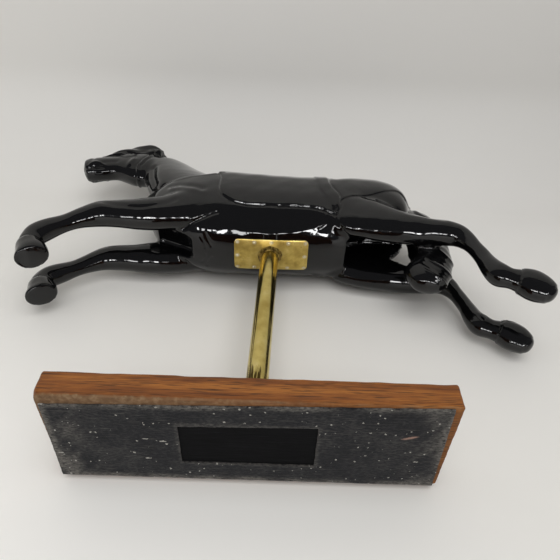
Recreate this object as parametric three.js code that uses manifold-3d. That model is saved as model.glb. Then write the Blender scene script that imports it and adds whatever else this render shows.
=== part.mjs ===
// Carousel horse in a flying gallop on a short brass pole, with its wooden base.
// Millimetres, +Z up, +X where the horse runs, the origin under the middle of the whole horse.
// The shapes are drawn from the middle of the base, and the last lines move them all forwards.

import * as THREE from 'three';
import { mergeVertices } from 'three/addons/utils/BufferGeometryUtils.js';
import Module from 'manifold-3d';

// ---------------------------------------------------------------- driving sizes

const GAP = 0.3;                       // play left between neighbouring pieces
const BASE_AHEAD = 11.5;               // the base stands this far in front of the horse's middle

const BASE_LENGTH = 250;
const BASE_WIDTH = 82;
const BASE_TOP = 19.6;
const ARRIS = 1;                       // worn edge of the block
const CHIP = 5;                        // corner knocked off the block

const FELT_THICKNESS = 0.9;
const FELT_FRONT = 124;
const FELT_REAR = -122;
const FELT_HALF_WIDTH = 40.5;
const FELT_SLANT = 7.5;                // how much narrower the front end was cut
const WINDOW_HALF_LENGTH = 42.5;
const WINDOW_WIDTH = 40;
const WINDOW_X = 1;
const WINDOW_Y = -1.5;

const POLE_RADIUS = 8;
const POLE_FOOT_X = -1.3;
const POLE_LEAN = 0.031;               // radians towards the tail
const BRAZE_RADIUS = 10;
const BRAZE_HEIGHT = 2.4;
const POLE_LENGTH = 179;               // from the base to about the plate

const PLATE_LENGTH = 67;
const PLATE_WIDTH = 33;
const PLATE_CORNER = 4;
const PLATE_THICKNESS = 1.2;
const PIN_RADIUS = 1.1;
const PIN_HEIGHT = 0.8;
const PIN_INSET = 2.8;
const PLATE_X = -8;
const PLATE_DROP = 1.6;                // the plate's outer face below the bare barrel

const BARREL_Z = 251;                  // middle of the barrel above the table
const BARREL_HALF_HEIGHT = 51;
const BARREL_HALF_WIDTH = 43;
const BARREL_SQUARE = 2.5;             // 2 is an ellipse, more is fuller at the shoulders
const FORELEG_Y = 25;
const HINDLEG_Y = 28;

const CLOTH_LIFT = 1.4;                // how far each layer of the tack stands proud
const BORDER_LIFT = 2.2;
const STRAP_LIFT = 1.2;
const GIRTH_WIDTH = 11.5;
const BRIDLE_WIDTH = 4;

// ---------------------------------------------------------------- solids

const wasm = await Module();
wasm.setup();

function solid(geometry) {
  geometry.deleteAttribute('normal');
  geometry.deleteAttribute('uv');
  const merged = mergeVertices(geometry, 1e-4);
  return new wasm.Manifold(new wasm.Mesh({
    numProp: 3,
    vertProperties: new Float32Array(merged.attributes.position.array),
    triVerts: new Uint32Array(merged.index.array),
  }));
}

function geometryOf(manifold) {
  const mesh = manifold.getMesh();
  const geometry = new THREE.BufferGeometry();
  geometry.setAttribute('position', new THREE.BufferAttribute(new Float32Array(mesh.vertProperties), 3));
  geometry.setIndex(new THREE.BufferAttribute(new Uint32Array(mesh.triVerts), 1));
  return geometry;
}

function union(solids) {
  return solids.reduce((all, next) => all.add(next));
}

function mirrored(make) {
  return union([make(1), make(-1)]);
}

// An outline in the X-Z plane, carried right through the horse from side to side.
function sideways(outline) {
  const geometry = new THREE.ExtrudeGeometry(outline, { depth: 180, bevelEnabled: false });
  geometry.translate(0, 0, -90);
  geometry.rotateX(Math.PI / 2);
  return solid(geometry);
}

function smoothOutline(points) {
  const curve = new THREE.CatmullRomCurve3(points.map(([x, z]) => new THREE.Vector3(x, z, 0)), true);
  const steps = points.length * 2;
  return new THREE.Shape(curve.getPoints(steps).slice(0, steps).map((p) => new THREE.Vector2(p.x, p.y)));
}

// A carved limb: rings square to a centre line in the X-Z plane, with their width along Y.
// Each station holds [x, y, z, half depth, half width]; both ends are rounded unless flatEnd is set.
function limb(stations, options = {}) {
  const { sides = 14, spans = 3, square = 2, narrow = 0, lift = 0 } = options;
  const { flatEnd = false, carve = () => 1 } = options;
  const centres = new THREE.CatmullRomCurve3(stations.map(([x, y, z]) => new THREE.Vector3(x, y, z)));
  const sizes = stations.map(([, , , depth, width]) => new THREE.Vector3(depth, width, 0));
  const halves = new THREE.CatmullRomCurve3(sizes);
  const steps = (stations.length - 1) * spans;
  const rings = [];
  for (let i = 0; i <= steps; i += 1) {
    const along = i / steps;
    const centre = centres.getPoint(along);
    const ahead = centres.getPoint(Math.min(1, along + 0.004));
    const behind = centres.getPoint(Math.max(0, along - 0.004));
    const way = ahead.sub(behind).setY(0).normalize();
    const half = halves.getPoint(along);
    rings.push({ centre, way, depth: half.x + lift, width: half.y + lift, along });
  }
  const domed = (ring, sign) => [0.6, 0.93].map((sine) => {
    const shrink = Math.sqrt(1 - sine * sine);
    const reach = sign * sine * Math.min(ring.depth, ring.width) * 0.7;
    return {
      centre: ring.centre.clone().addScaledVector(ring.way, reach),
      way: ring.way,
      depth: ring.depth * shrink,
      width: ring.width * shrink,
      along: ring.along,
    };
  });
  const first = domed(rings[0], -1).reverse();
  const last = flatEnd ? [] : domed(rings[rings.length - 1], 1);
  const all = [...first, ...rings, ...last];
  const power = (value) => Math.sign(value) * Math.abs(value) ** (2 / square);
  const vertices = [];
  for (const ring of all) {
    const up = new THREE.Vector3(-ring.way.z, 0, ring.way.x);
    for (let k = 0; k < sides; k += 1) {
      const turn = (2 * Math.PI * k) / sides;
      const relief = carve(turn, ring.along);
      const sine = power(Math.sin(turn));
      const across = power(Math.cos(turn)) * ring.width * relief * (1 - narrow * sine);
      const rise = sine * ring.depth * relief;
      vertices.push(ring.centre.x + up.x * rise, ring.centre.y + across, ring.centre.z + up.z * rise);
    }
  }
  const faces = [];
  for (let i = 0; i + 1 < all.length; i += 1) {
    for (let k = 0; k < sides; k += 1) {
      const next = (k + 1) % sides;
      const a = i * sides + k;
      const b = i * sides + next;
      faces.push(a, b, a + sides, b, b + sides, a + sides);
    }
  }
  const middle = (ring) => vertices.push(ring.centre.x, ring.centre.y, ring.centre.z) / 3 - 1;
  const startPole = middle(all[0]);
  const endPole = middle(all[all.length - 1]);
  const lastRow = (all.length - 1) * sides;
  for (let k = 0; k < sides; k += 1) {
    const next = (k + 1) % sides;
    faces.push(startPole, next, k);
    faces.push(endPole, lastRow + k, lastRow + next);
  }
  const geometry = new THREE.BufferGeometry();
  geometry.setAttribute('position', new THREE.Float32BufferAttribute(vertices, 3));
  geometry.setIndex(faces);
  return solid(geometry);
}

// ---------------------------------------------------------------- horse

// Stations of the trunk from the buttocks to the breast: [x, rise of the middle, height share, width share].
// Behind the belly the underside steps up between the thighs, and it rises again between the forelegs.
const trunkStations = [
  [-143, 12, 0.30, 0.34],
  [-133, 12, 0.58, 0.76],
  [-112, 10, 0.74, 0.94],
  [-84, 9, 0.78, 0.98],
  [-74, 3, 0.96, 0.98],
  [-40, 0, 0.98, 0.98],
  [0, 0, 1.0, 1.0],
  [40, 2, 1.02, 1.02],
  [62, 5, 0.96, 0.98],
  [82, 13, 0.77, 0.88],
  [98, 20, 0.57, 0.7],
  [110, 25, 0.34, 0.42],
].map(([x, rise, high, wide]) => [
  x, 0, BARREL_Z + rise, high * BARREL_HALF_HEIGHT, wide * BARREL_HALF_WIDTH,
]);

// The rider's leg has a hollow to lie in on either flank of the saddle.
function saddleHollow(turn, along) {
  const lengthwise = Math.exp(-(((along - 0.5) / 0.07) ** 2));
  const upperFlank = Math.exp(-(((Math.abs(turn - Math.PI / 2) - 1.15) / 0.42) ** 2));
  return 1 - 0.06 * lengthwise * upperFlank;
}

function trunk(lift = 0) {
  return limb(trunkStations, {
    sides: 24, spans: 2, square: BARREL_SQUARE, narrow: 0.03, lift, carve: saddleHollow,
  });
}

function neck() {
  return limb([
    [56, 0, 277, 42, 31],
    [76, 0, 298, 39, 26],
    [95, 0, 321, 34, 21],
    [111, 0, 346, 28, 16],
    [123, 0, 364, 22, 13],
  ], { sides: 16, spans: 2, narrow: 0.25 });
}

function head(lift = 0) {
  return limb([
    [124, 0, 361, 23, 12],
    [137, 0, 355, 27, 15],
    [154, 0, 357, 22, 14.5],
    [171, 0, 357.5, 16, 12],
    [188, 0, 353.5, 15.8, 12.3],
    [199, 0, 350, 14.8, 12.8],
  ], { sides: 16, spans: 2, square: 2.3, lift });
}

// The ears are laid back by the speed.
function ear(side) {
  return limb([
    [147, side * 9, 384, 4.5, 4],
    [140, side * 10, 391, 5, 3.5],
    [128, side * 10, 390, 1.4, 1],
  ], { sides: 8, spans: 2 });
}

// Locks of the forelock stand up between the ears, lie over the brow and run down the nose.
function forelock() {
  const locks = [-2, 1, 1.5, -1].map((rise, index) => {
    const y = 7.5 - 4.2 * index;
    return limb([
      [127, y, 384 + rise, 8, 4.4],
      [140, y + 1, 388.5 + rise, 8.6, 4.8],
      [153, y, 388 + rise, 8.4, 4.4],
      [164, y - 0.5, 383.5 + rise, 7, 4],
      [174, y + 0.5, 376.5 + rise / 2, 5, 3.2],
      [184, y * 0.8, 371 + rise / 2, 3.4, 2.8],
      [192, y * 0.6, 366.5, 2, 1.8],
    ], { sides: 7, spans: 1 });
  });
  return union(locks);
}

// A plain mane falls on the right side of the crest.
function mane() {
  const locks = [0, 1, 2, 3, 4].map((index) => {
    const x = 126 - 13 * index;
    const z = 388 - 15 * index;
    return limb([
      [x, 1, z, 5, 4],
      [x - 9, -10 - 1.2 * index, z - 10, 8, 4.5],
      [x - 11, -17 - 3.4 * index, z - 29, 7, 3.5],
      [x - 7, -17 - 4.4 * index, z - 42, 2, 2],
    ], { sides: 6, spans: 1 });
  });
  return union(locks);
}

function foreleg(side) {
  const y = side * FORELEG_Y;
  const right = side < 0 ? 1 : 0;      // the right hoof is carved higher and further forward
  return limb([
    [46, side * 21, 256, 38, 18],
    [66, side * 24, 239, 27, 17],
    [86, y, 227, 19.5, 15],
    [110, y, 222, 15.5, 14.5],
    [132, y, 221, 12.8, 12.5],
    [148, y, 220, 12.2, 12],
    [162, y, 213, 9.8, 9.4],
    [175, y, 202.5, 8, 7.8],
    [186, side * 24.5, 194, 9.6, 9],
    [194 + right, side * 24, 185 + right, 10.2, 9.6],
    [196.5 + 2 * right, side * 23, 176 + 2 * right, 9.4, 8.8],
    [193.5 + 3 * right, side * 22.5, 168 + 3.5 * right, 10.6, 9.6],
    [189.5 + 4 * right, side * 22.5, 161 + 4.5 * right, 11.5, 10.4],
    [187 + 4.5 * right, side * 22, 153.5 + 5 * right, 11.9, 10.8],
  ], { sides: 12, spans: 1, flatEnd: true });
}

function hindleg(side) {
  const y = side * HINDLEG_Y;
  return limb([
    [-68, side * 23, 244, 34, 18],
    [-94, y, 226, 29, 14.5],
    [-118, y, 213, 19, 14],
    [-142, y, 206, 13.5, 13],
    [-161, y, 205, 11.5, 11.5],
    [-174, y, 201, 10.5, 10],
    [-181, y, 188, 7.4, 7.4],
    [-186, y, 170, 7.2, 7],
    [-188.6, y, 157, 8.6, 8],
    [-193, y, 146, 10.5, 10],
    [-201, y, 141.5, 8.4, 8.2],
    [-208, y, 138.5, 10.8, 10],
    [-214, y, 135, 12.8, 11],
    [-220, y, 130, 12.4, 10.6],
    [-225, y, 124.5, 9.4, 8.6],
  ], { sides: 12, spans: 1 });
}

// The block is hollowed square between the thighs, and less deeply between the forelegs.
function legHollows() {
  const options = { sides: 16, spans: 1, square: 7, flatEnd: true };
  const behindBelly = limb([
    [-130, 0, 218, 30, 17],
    [-108, 0, 212, 34, 17],
    [-92, 0, 208, 35, 17],
    [-77, 0, 205, 33, 16.5],
  ], options);
  const underBreast = limb([
    [108, 0, 212, 22, 13],
    [86, 0, 202, 23, 13],
    [67, 0, 196, 19, 11.5],
  ], options);
  return union([behindBelly, underBreast]);
}

function tail() {
  const strands = 5;
  const carve = (turn, along) => 1 + 0.07 * Math.cos(strands * turn + 5 * along);
  return limb([
    [-130, 0, 272, 9, 8],
    [-148, 0, 272, 10, 9],
    [-158, 0, 259, 13, 11.5],
    [-157.5, 0, 236, 18, 13.5],
    [-152.5, 0, 208, 22.5, 15],
    [-148, 0, 184, 22.5, 14.5],
    [-147, 0, 168, 17, 12],
  ], { sides: 18, spans: 2, carve });
}

// ---------------------------------------------------------------- tack, carved on the horse

function layer(body, lift, outline) {
  return body(lift).intersect(sideways(outline));
}

function band(from, to, width) {
  const along = new THREE.Vector2(to[0] - from[0], to[1] - from[1]).normalize().multiplyScalar(width / 2);
  return new THREE.Shape([
    new THREE.Vector2(from[0] - along.y, from[1] + along.x),
    new THREE.Vector2(from[0] + along.y, from[1] - along.x),
    new THREE.Vector2(to[0] + along.y, to[1] - along.x),
    new THREE.Vector2(to[0] - along.y, to[1] + along.x),
  ]);
}

function saddleCloth() {
  return layer(trunk, CLOTH_LIFT, smoothOutline([
    [44, 300], [42, 262], [41, 240], [33, 228.6], [16, 223], [-20, 223.5],
    [-48, 223.3], [-66, 219], [-69, 238], [-61, 260], [-57, 300], [-8, 330],
  ]));
}

function clothBorder() {
  return layer(trunk, BORDER_LIFT, smoothOutline([
    [-64, 223], [-69, 238], [-61, 260], [-57, 320], [-46, 320], [-50, 262], [-54, 243],
  ]));
}

function rumpCloth() {
  return layer(trunk, STRAP_LIFT, smoothOutline([
    [-60, 237], [-80, 239.5], [-96, 244], [-112, 253], [-128, 262], [-139, 261], [-150, 300], [-60, 330],
  ]));
}

function girth() {
  return layer(trunk, STRAP_LIFT, band([-6.7, 190], [-6.7, 230], GIRTH_WIDTH));
}

function bridle() {
  return union([
    layer(head, STRAP_LIFT, band([146, 320], [143, 346], BRIDLE_WIDTH)),
    layer(head, STRAP_LIFT, band([143.2, 344], [127, 392], BRIDLE_WIDTH)),
  ]);
}

function saddleSeat() {
  return limb([
    [30, 0, 299, 9, 14],
    [16, 0, 298, 8, 20],
    [-12, 0, 296, 7, 22],
    [-34, 0, 299, 9, 22],
    [-46, 0, 301, 10, 16],
  ], { sides: 12, spans: 1 });
}

// ---------------------------------------------------------------- brass fittings

function roundedRectangle(length, width, corner) {
  const shape = new THREE.Shape();
  const x = length / 2;
  const y = width / 2;
  shape.moveTo(-x + corner, -y);
  shape.lineTo(x - corner, -y);
  shape.absarc(x - corner, -y + corner, corner, -Math.PI / 2, 0);
  shape.lineTo(x, y - corner);
  shape.absarc(x - corner, y - corner, corner, 0, Math.PI / 2);
  shape.lineTo(-x + corner, y);
  shape.absarc(-x + corner, y - corner, corner, Math.PI / 2, Math.PI);
  shape.lineTo(-x, -y + corner);
  shape.absarc(-x + corner, -y + corner, corner, Math.PI, 1.5 * Math.PI);
  return shape;
}

// A column under the belly with the plate's outline.
function plateColumn(margin) {
  const length = PLATE_LENGTH + 2 * margin;
  const outline = roundedRectangle(length, PLATE_WIDTH + 2 * margin, PLATE_CORNER + margin);
  const geometry = new THREE.ExtrudeGeometry(outline, { depth: 40, bevelEnabled: false, curveSegments: 4 });
  geometry.translate(PLATE_X, 0, BARREL_Z - BARREL_HALF_HEIGHT - 20);
  return solid(geometry);
}

// Height of the plate's underside at a place under the belly, found on the barrel's cross-section.
function plateUnderside(y) {
  const share = Math.abs(y) / (BARREL_HALF_WIDTH + PLATE_DROP);
  const depth = (BARREL_HALF_HEIGHT + PLATE_DROP) * (1 - share ** BARREL_SQUARE) ** (1 / BARREL_SQUARE);
  return BARREL_Z - depth;
}

function bellyPlate() {
  return trunk(PLATE_DROP).subtract(trunk(PLATE_DROP - PLATE_THICKNESS)).intersect(plateColumn(0));
}

// The pole's own frame: its foot on the base, leaning back.
function placeOnPole(geometry) {
  geometry.rotateX(Math.PI / 2);
  geometry.rotateY(-POLE_LEAN);
  geometry.translate(POLE_FOOT_X, 0, BASE_TOP);
  return solid(geometry);
}

function poleRod(radius, from, to, sides) {
  const geometry = new THREE.CylinderGeometry(radius, radius, to - from, sides);
  geometry.translate(0, (from + to) / 2, 0);
  return placeOnPole(geometry);
}

function pole() {
  const aboveBase = new THREE.BoxGeometry(BASE_LENGTH, BASE_WIDTH, 300);
  aboveBase.translate(0, 0, BASE_TOP + GAP + 150);
  return poleRod(POLE_RADIUS, -20, POLE_LENGTH + 10, 28)
    .intersect(solid(aboveBase))
    .subtract(trunk(PLATE_DROP + GAP));
}

function poleBraze() {
  const profile = [
    [POLE_RADIUS + GAP, POLE_LENGTH - BRAZE_HEIGHT],
    [POLE_RADIUS + 0.9, POLE_LENGTH - BRAZE_HEIGHT],
    [BRAZE_RADIUS - 0.5, POLE_LENGTH - 0.8],
    [BRAZE_RADIUS, POLE_LENGTH + 5],
    [POLE_RADIUS + GAP, POLE_LENGTH + 5],
  ].map(([x, y]) => new THREE.Vector2(x, y));
  profile.push(profile[0].clone());
  const ring = placeOnPole(new THREE.LatheGeometry(profile, 20));
  return ring.subtract(trunk(PLATE_DROP + GAP));
}

// ---------------------------------------------------------------- stand

function block() {
  const height = BASE_TOP - FELT_THICKNESS - GAP;
  const outline = new THREE.Shape();
  outline.moveTo(-BASE_LENGTH / 2 + ARRIS, -BASE_WIDTH / 2 + ARRIS);
  outline.lineTo(BASE_LENGTH / 2 - ARRIS, -BASE_WIDTH / 2 + ARRIS);
  outline.lineTo(BASE_LENGTH / 2 - ARRIS, BASE_WIDTH / 2 - ARRIS);
  outline.lineTo(-BASE_LENGTH / 2 + ARRIS, BASE_WIDTH / 2 - ARRIS);
  const geometry = new THREE.ExtrudeGeometry(outline, {
    depth: height - 2 * ARRIS,
    bevelSize: ARRIS,
    bevelThickness: ARRIS,
    bevelSegments: 2,
  });
  geometry.translate(0, 0, BASE_TOP - height + ARRIS);
  const chip = new THREE.BoxGeometry(CHIP, CHIP, CHIP);
  chip.rotateX(0.9);
  chip.rotateZ(0.8);
  chip.translate(BASE_LENGTH / 2, BASE_WIDTH / 2 + 0.6, BASE_TOP - height);
  return solid(geometry).subtract(solid(chip));
}

// The felt was cut by hand: its front and its window narrow towards the horse's head.
function felt() {
  const outline = new THREE.Shape([
    new THREE.Vector2(FELT_FRONT, -FELT_HALF_WIDTH),
    new THREE.Vector2(FELT_FRONT - 1.5, FELT_HALF_WIDTH - FELT_SLANT),
    new THREE.Vector2(FELT_REAR + 3, FELT_HALF_WIDTH),
    new THREE.Vector2(FELT_REAR, -FELT_HALF_WIDTH),
  ]);
  outline.holes.push(new THREE.Path([
    new THREE.Vector2(WINDOW_HALF_LENGTH, -WINDOW_WIDTH / 2),
    new THREE.Vector2(-WINDOW_HALF_LENGTH, -WINDOW_WIDTH / 2),
    new THREE.Vector2(-WINDOW_HALF_LENGTH, WINDOW_WIDTH / 2),
    new THREE.Vector2(WINDOW_HALF_LENGTH, WINDOW_WIDTH / 2 - FELT_SLANT / 3),
  ].map((corner) => corner.add(new THREE.Vector2(WINDOW_X, WINDOW_Y)))));
  return solid(new THREE.ExtrudeGeometry(outline, { depth: FELT_THICKNESS, bevelEnabled: false }));
}

// ---------------------------------------------------------------- assembly

const group = new THREE.Group();
group.position.x = BASE_AHEAD;

function add(name, manifold, color, roughness, metalness) {
  const material = new THREE.MeshStandardMaterial({ color, roughness, metalness });
  const mesh = new THREE.Mesh(geometryOf(manifold), material);
  mesh.name = name;
  group.add(mesh);
}

const horse = union([
  trunk(),
  neck(),
  head(),
  mirrored(ear),
  forelock(),
  mane(),
  mirrored(foreleg),
  mirrored(hindleg),
  tail(),
  saddleCloth(),
  clothBorder(),
  rumpCloth(),
  girth(),
  bridle(),
  saddleSeat(),
]);

// The plate is let into the carving, so the girth stops at its edges.
const plateSeat = trunk(8).subtract(trunk(PLATE_DROP - PLATE_THICKNESS - GAP)).intersect(plateColumn(GAP));
add('horse', horse.subtract(legHollows()).subtract(plateSeat), 0x0b0b0d, 0.12, 0);
add('belly_plate', bellyPlate(), 0xb8963f, 0.25, 1);

// Pins round the plate's edge: five along either long side and one at the middle of either end.
const pinX = PLATE_LENGTH / 2 - PIN_INSET;
const pinY = PLATE_WIDTH / 2 - PIN_INSET;
const pinPlaces = [[-pinX, 0], [pinX, 0]];
for (const side of [-1, 1]) {
  for (let k = 0; k < 5; k += 1) {
    pinPlaces.push([-pinX + (2 * pinX * k) / 4, side * pinY]);
  }
}
pinPlaces.forEach(([x, y], index) => {
  const head = new THREE.SphereGeometry(PIN_RADIUS, 6, 4);
  head.scale(1, 1, PIN_HEIGHT / PIN_RADIUS);
  head.translate(PLATE_X + x, y, plateUnderside(y));
  const clear = solid(head).subtract(trunk(PLATE_DROP + GAP));
  add(`plate_pin_${String(index + 1).padStart(2, '0')}`, clear, 0xc7a550, 0.3, 1);
});

add('pole_braze', poleBraze(), 0x6e5a33, 0.5, 1);
add('pole', pole(), 0xb38f3c, 0.25, 1);
add('base', block(), 0x7a3f22, 0.5, 0);
add('base_felt', felt(), 0x1c1d1f, 0.95, 0);

export default group;
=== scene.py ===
import math
import bmesh
import bpy
import numpy as np
from mathutils import Matrix, Vector
from mathutils.bvhtree import BVHTree
from mathutils.kdtree import KDTree


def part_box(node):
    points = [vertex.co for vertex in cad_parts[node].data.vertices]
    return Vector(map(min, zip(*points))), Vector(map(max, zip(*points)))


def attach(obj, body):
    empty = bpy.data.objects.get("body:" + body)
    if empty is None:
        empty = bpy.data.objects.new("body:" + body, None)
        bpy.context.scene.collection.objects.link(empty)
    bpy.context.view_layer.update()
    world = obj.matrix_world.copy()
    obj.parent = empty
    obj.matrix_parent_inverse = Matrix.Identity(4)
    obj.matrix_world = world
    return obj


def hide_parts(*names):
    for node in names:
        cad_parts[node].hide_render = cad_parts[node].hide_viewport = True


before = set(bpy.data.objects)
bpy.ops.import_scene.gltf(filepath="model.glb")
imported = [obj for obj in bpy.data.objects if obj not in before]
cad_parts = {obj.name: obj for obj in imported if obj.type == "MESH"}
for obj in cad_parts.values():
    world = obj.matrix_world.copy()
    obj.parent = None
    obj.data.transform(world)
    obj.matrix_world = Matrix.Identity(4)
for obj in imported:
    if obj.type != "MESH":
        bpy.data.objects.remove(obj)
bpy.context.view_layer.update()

# ---------------------------------------------------------------- horse
# The horse is one wood carving: body, legs, tail, mane and all its tack are cut from the same
# block, sanded smooth and brushed with several coats of black gloss lacquer, which rounds every
# edge. It is roughed out here limb by limb, joined into one skin, and the relief is cut into it.

MM = 0.001
base_low, base_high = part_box("base")
STAND_X = (base_low[0] + base_high[0]) / 2     # the horse's sizes count from the middle of the base

BARREL_Z = 251
BARREL_HALF_HEIGHT = 51
BARREL_HALF_WIDTH = 43
FORELEG_Y = 25
HINDLEG_Y = 28
FORE_SOLE_Z = 153
JOINING_GRAIN = 1.6                  # how finely the skin is drawn when the limbs are joined
CARVING_GRAIN = 1.5                  # and when it is ready for the relief
HORSE_TRIANGLES = 190000

TRUNK = [(x, 0, BARREL_Z + rise, high * BARREL_HALF_HEIGHT, wide * BARREL_HALF_WIDTH)
         for x, rise, high, wide in [
             (-143, 12, 0.30, 0.34), (-133, 12, 0.58, 0.76), (-112, 10, 0.74, 0.94),
             (-84, 9, 0.78, 0.98), (-74, 3, 0.96, 0.98), (-40, 0, 0.98, 0.98), (0, 0, 1.0, 1.0),
             (40, 2, 1.02, 1.02), (62, 5, 0.96, 0.98), (82, 13, 0.77, 0.88), (98, 20, 0.57, 0.7),
             (110, 25, 0.34, 0.42)]]
NECK = [(56, 0, 277, 42, 31), (76, 0, 298, 39, 26), (95, 0, 321, 34, 21), (111, 0, 346, 28, 16),
        (123, 0, 364, 22, 13)]
HEAD = [(124, 0, 361, 23, 12), (137, 0, 355, 27, 15), (154, 0, 357, 22, 14.5),
        (171, 0, 357.5, 16, 12), (188, 0, 353.5, 15.8, 12.3), (199, 0, 350, 14.8, 12.8)]
TAIL = [(-130, 0, 272, 9, 8), (-148, 0, 272, 10, 9), (-158, 0, 259, 13, 11.5),
        (-157.5, 0, 236, 18, 13.5), (-152.5, 0, 208, 22.5, 15), (-148, 0, 184, 22.5, 14.5),
        (-147, 0, 168, 17, 12)]
SEAT = [(30, 0, 299, 9, 14), (16, 0, 298, 8, 20), (-12, 0, 296, 7, 22), (-34, 0, 299, 9, 22),
        (-46, 0, 301, 10, 16)]


# Along each limb, a station is its place, and its half height and half width there.
def ear(side):
    """The stations of an ear, laid back."""
    return [(147, side * 9, 384, 4.5, 4), (140, side * 10, 391, 5, 3.5),
            (128, side * 10, 390, 1.4, 1)]


def foreleg(side):
    """The stations of a foreleg, from the shoulder to the sole."""
    y = side * FORELEG_Y
    right = float(side < 0)          # the right hoof is carved a little higher and further forward
    return [(46, side * 21, 256, 38, 18), (66, side * 24, 239, 27, 17), (86, y, 227, 19.5, 15),
            (110, y, 222, 15.5, 14.5), (132, y, 221, 12.8, 12.5), (148, y, 220, 12.2, 12),
            (162, y, 213, 9.8, 9.4), (175, y, 202.5, 8, 7.8), (186, side * 24.5, 194, 9.6, 9),
            (194 + right, side * 24, 185 + right, 10.2, 9.6),
            (196.5 + 2 * right, side * 23, 176 + 2 * right, 9.4, 8.8),
            (193.5 + 3 * right, side * 22.5, 168 + 3.5 * right, 10.6, 9.6),
            (189.5 + 4 * right, side * 22.5, 161 + 4.5 * right, 11.5, 10.4),
            (187 + 4.5 * right, side * 22, 153.5 + 5 * right, 11.9, 10.8)]


def hindleg(side):
    """The stations of a hind leg, from the thigh to the tip of the hoof."""
    y = side * HINDLEG_Y
    return [(-68, side * 23, 244, 34, 18), (-94, y, 226, 29, 14.5), (-118, y, 213, 19, 14),
            (-142, y, 206, 13.5, 13), (-161, y, 205, 11.5, 11.5), (-174, y, 201, 10.5, 10),
            (-181, y, 188, 7.4, 7.4), (-186, y, 170, 7.2, 7), (-188.6, y, 157, 8.6, 8),
            (-193, y, 146, 10.5, 10), (-201, y, 141.5, 8.4, 8.2), (-208, y, 138.5, 10.8, 10),
            (-214, y, 135, 12.8, 11), (-220, y, 130, 12.4, 10.6), (-225, y, 124.5, 9.4, 8.6)]


def forelock(index):
    """The stations of one strand of the forelock, from the poll towards the nose."""
    y = 7.5 - 4.2 * index
    rise = (-2, 1, 1.5, -1)[index]
    return [(127, y, 384 + rise, 8, 4.4), (140, y + 1, 388.5 + rise, 8.6, 4.8),
            (153, y, 388 + rise, 8.4, 4.4), (164, y - 0.5, 383.5 + rise, 7, 4),
            (174, y + 0.5, 376.5 + rise / 2, 5, 3.2), (184, y * 0.8, 371 + rise / 2, 3.4, 2.8),
            (192, y * 0.6, 366.5, 2, 1.8)]


def mane_lock(index):
    """The stations of one lock of the mane, on the right of the neck."""
    x, z = 126 - 13 * index, 388 - 15 * index
    return [(x, 1, z, 5, 4), (x - 9, -10 - 1.2 * index, z - 10, 8, 4.5),
            (x - 11, -17 - 3.4 * index, z - 29, 7, 3.5), (x - 7, -17 - 4.4 * index, z - 42, 2, 2)]


def select_only(*objects):
    """Leaves edit mode and selects these objects only; the first is made active."""
    if bpy.context.object and bpy.context.object.mode != "OBJECT":
        bpy.ops.object.mode_set(mode="OBJECT")
    bpy.ops.object.select_all(action="DESELECT")
    for thing in objects:
        thing.select_set(True)
    bpy.context.view_layer.objects.active = objects[0] if objects else None


def apply_modifier(thing, kind, **settings):
    """Adds a modifier with its settings, and applies it."""
    select_only(thing)
    bpy.ops.object.modifier_add(type=kind)
    modifier = thing.modifiers[-1]
    for key, value in settings.items():
        setattr(modifier, key, value)
    bpy.ops.object.modifier_apply(modifier=modifier.name)


def run_through(known, spans):
    """A smooth curve from the second known point to the last but one, less its end, with spans
    steps from each to the next."""
    rows = []
    for a, b, c, d in zip(known, known[1:], known[2:], known[3:]):
        for t in np.arange(spans) / spans:
            rows.append((2 * b + (c - a) * t + (2 * a - 5 * b + 4 * c - d) * t * t
                         + (3 * b - a - 3 * c + d) * t ** 3) / 2)
    return np.array(rows)


def flowing(stations, spans):
    """A smooth run of stations through the given ones."""
    known = np.array(stations, float)
    known = np.vstack([2 * known[0] - known[1], known, 2 * known[-1] - known[-2]])
    return np.vstack([run_through(known, spans), known[-2]])


def open_piece(name):
    """Names the primitive that was just added, and opens it in edit mode, selected all over."""
    piece = bpy.context.object
    piece.name = name
    bpy.ops.object.mode_set(mode="EDIT")
    bpy.ops.mesh.select_all(action="SELECT")
    return piece


def close_piece():
    """Turns all the faces outwards and leaves edit mode."""
    bpy.ops.mesh.select_all(action="SELECT")
    bpy.ops.mesh.normals_make_consistent(inside=False)
    bpy.ops.object.mode_set(mode="OBJECT")


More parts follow.
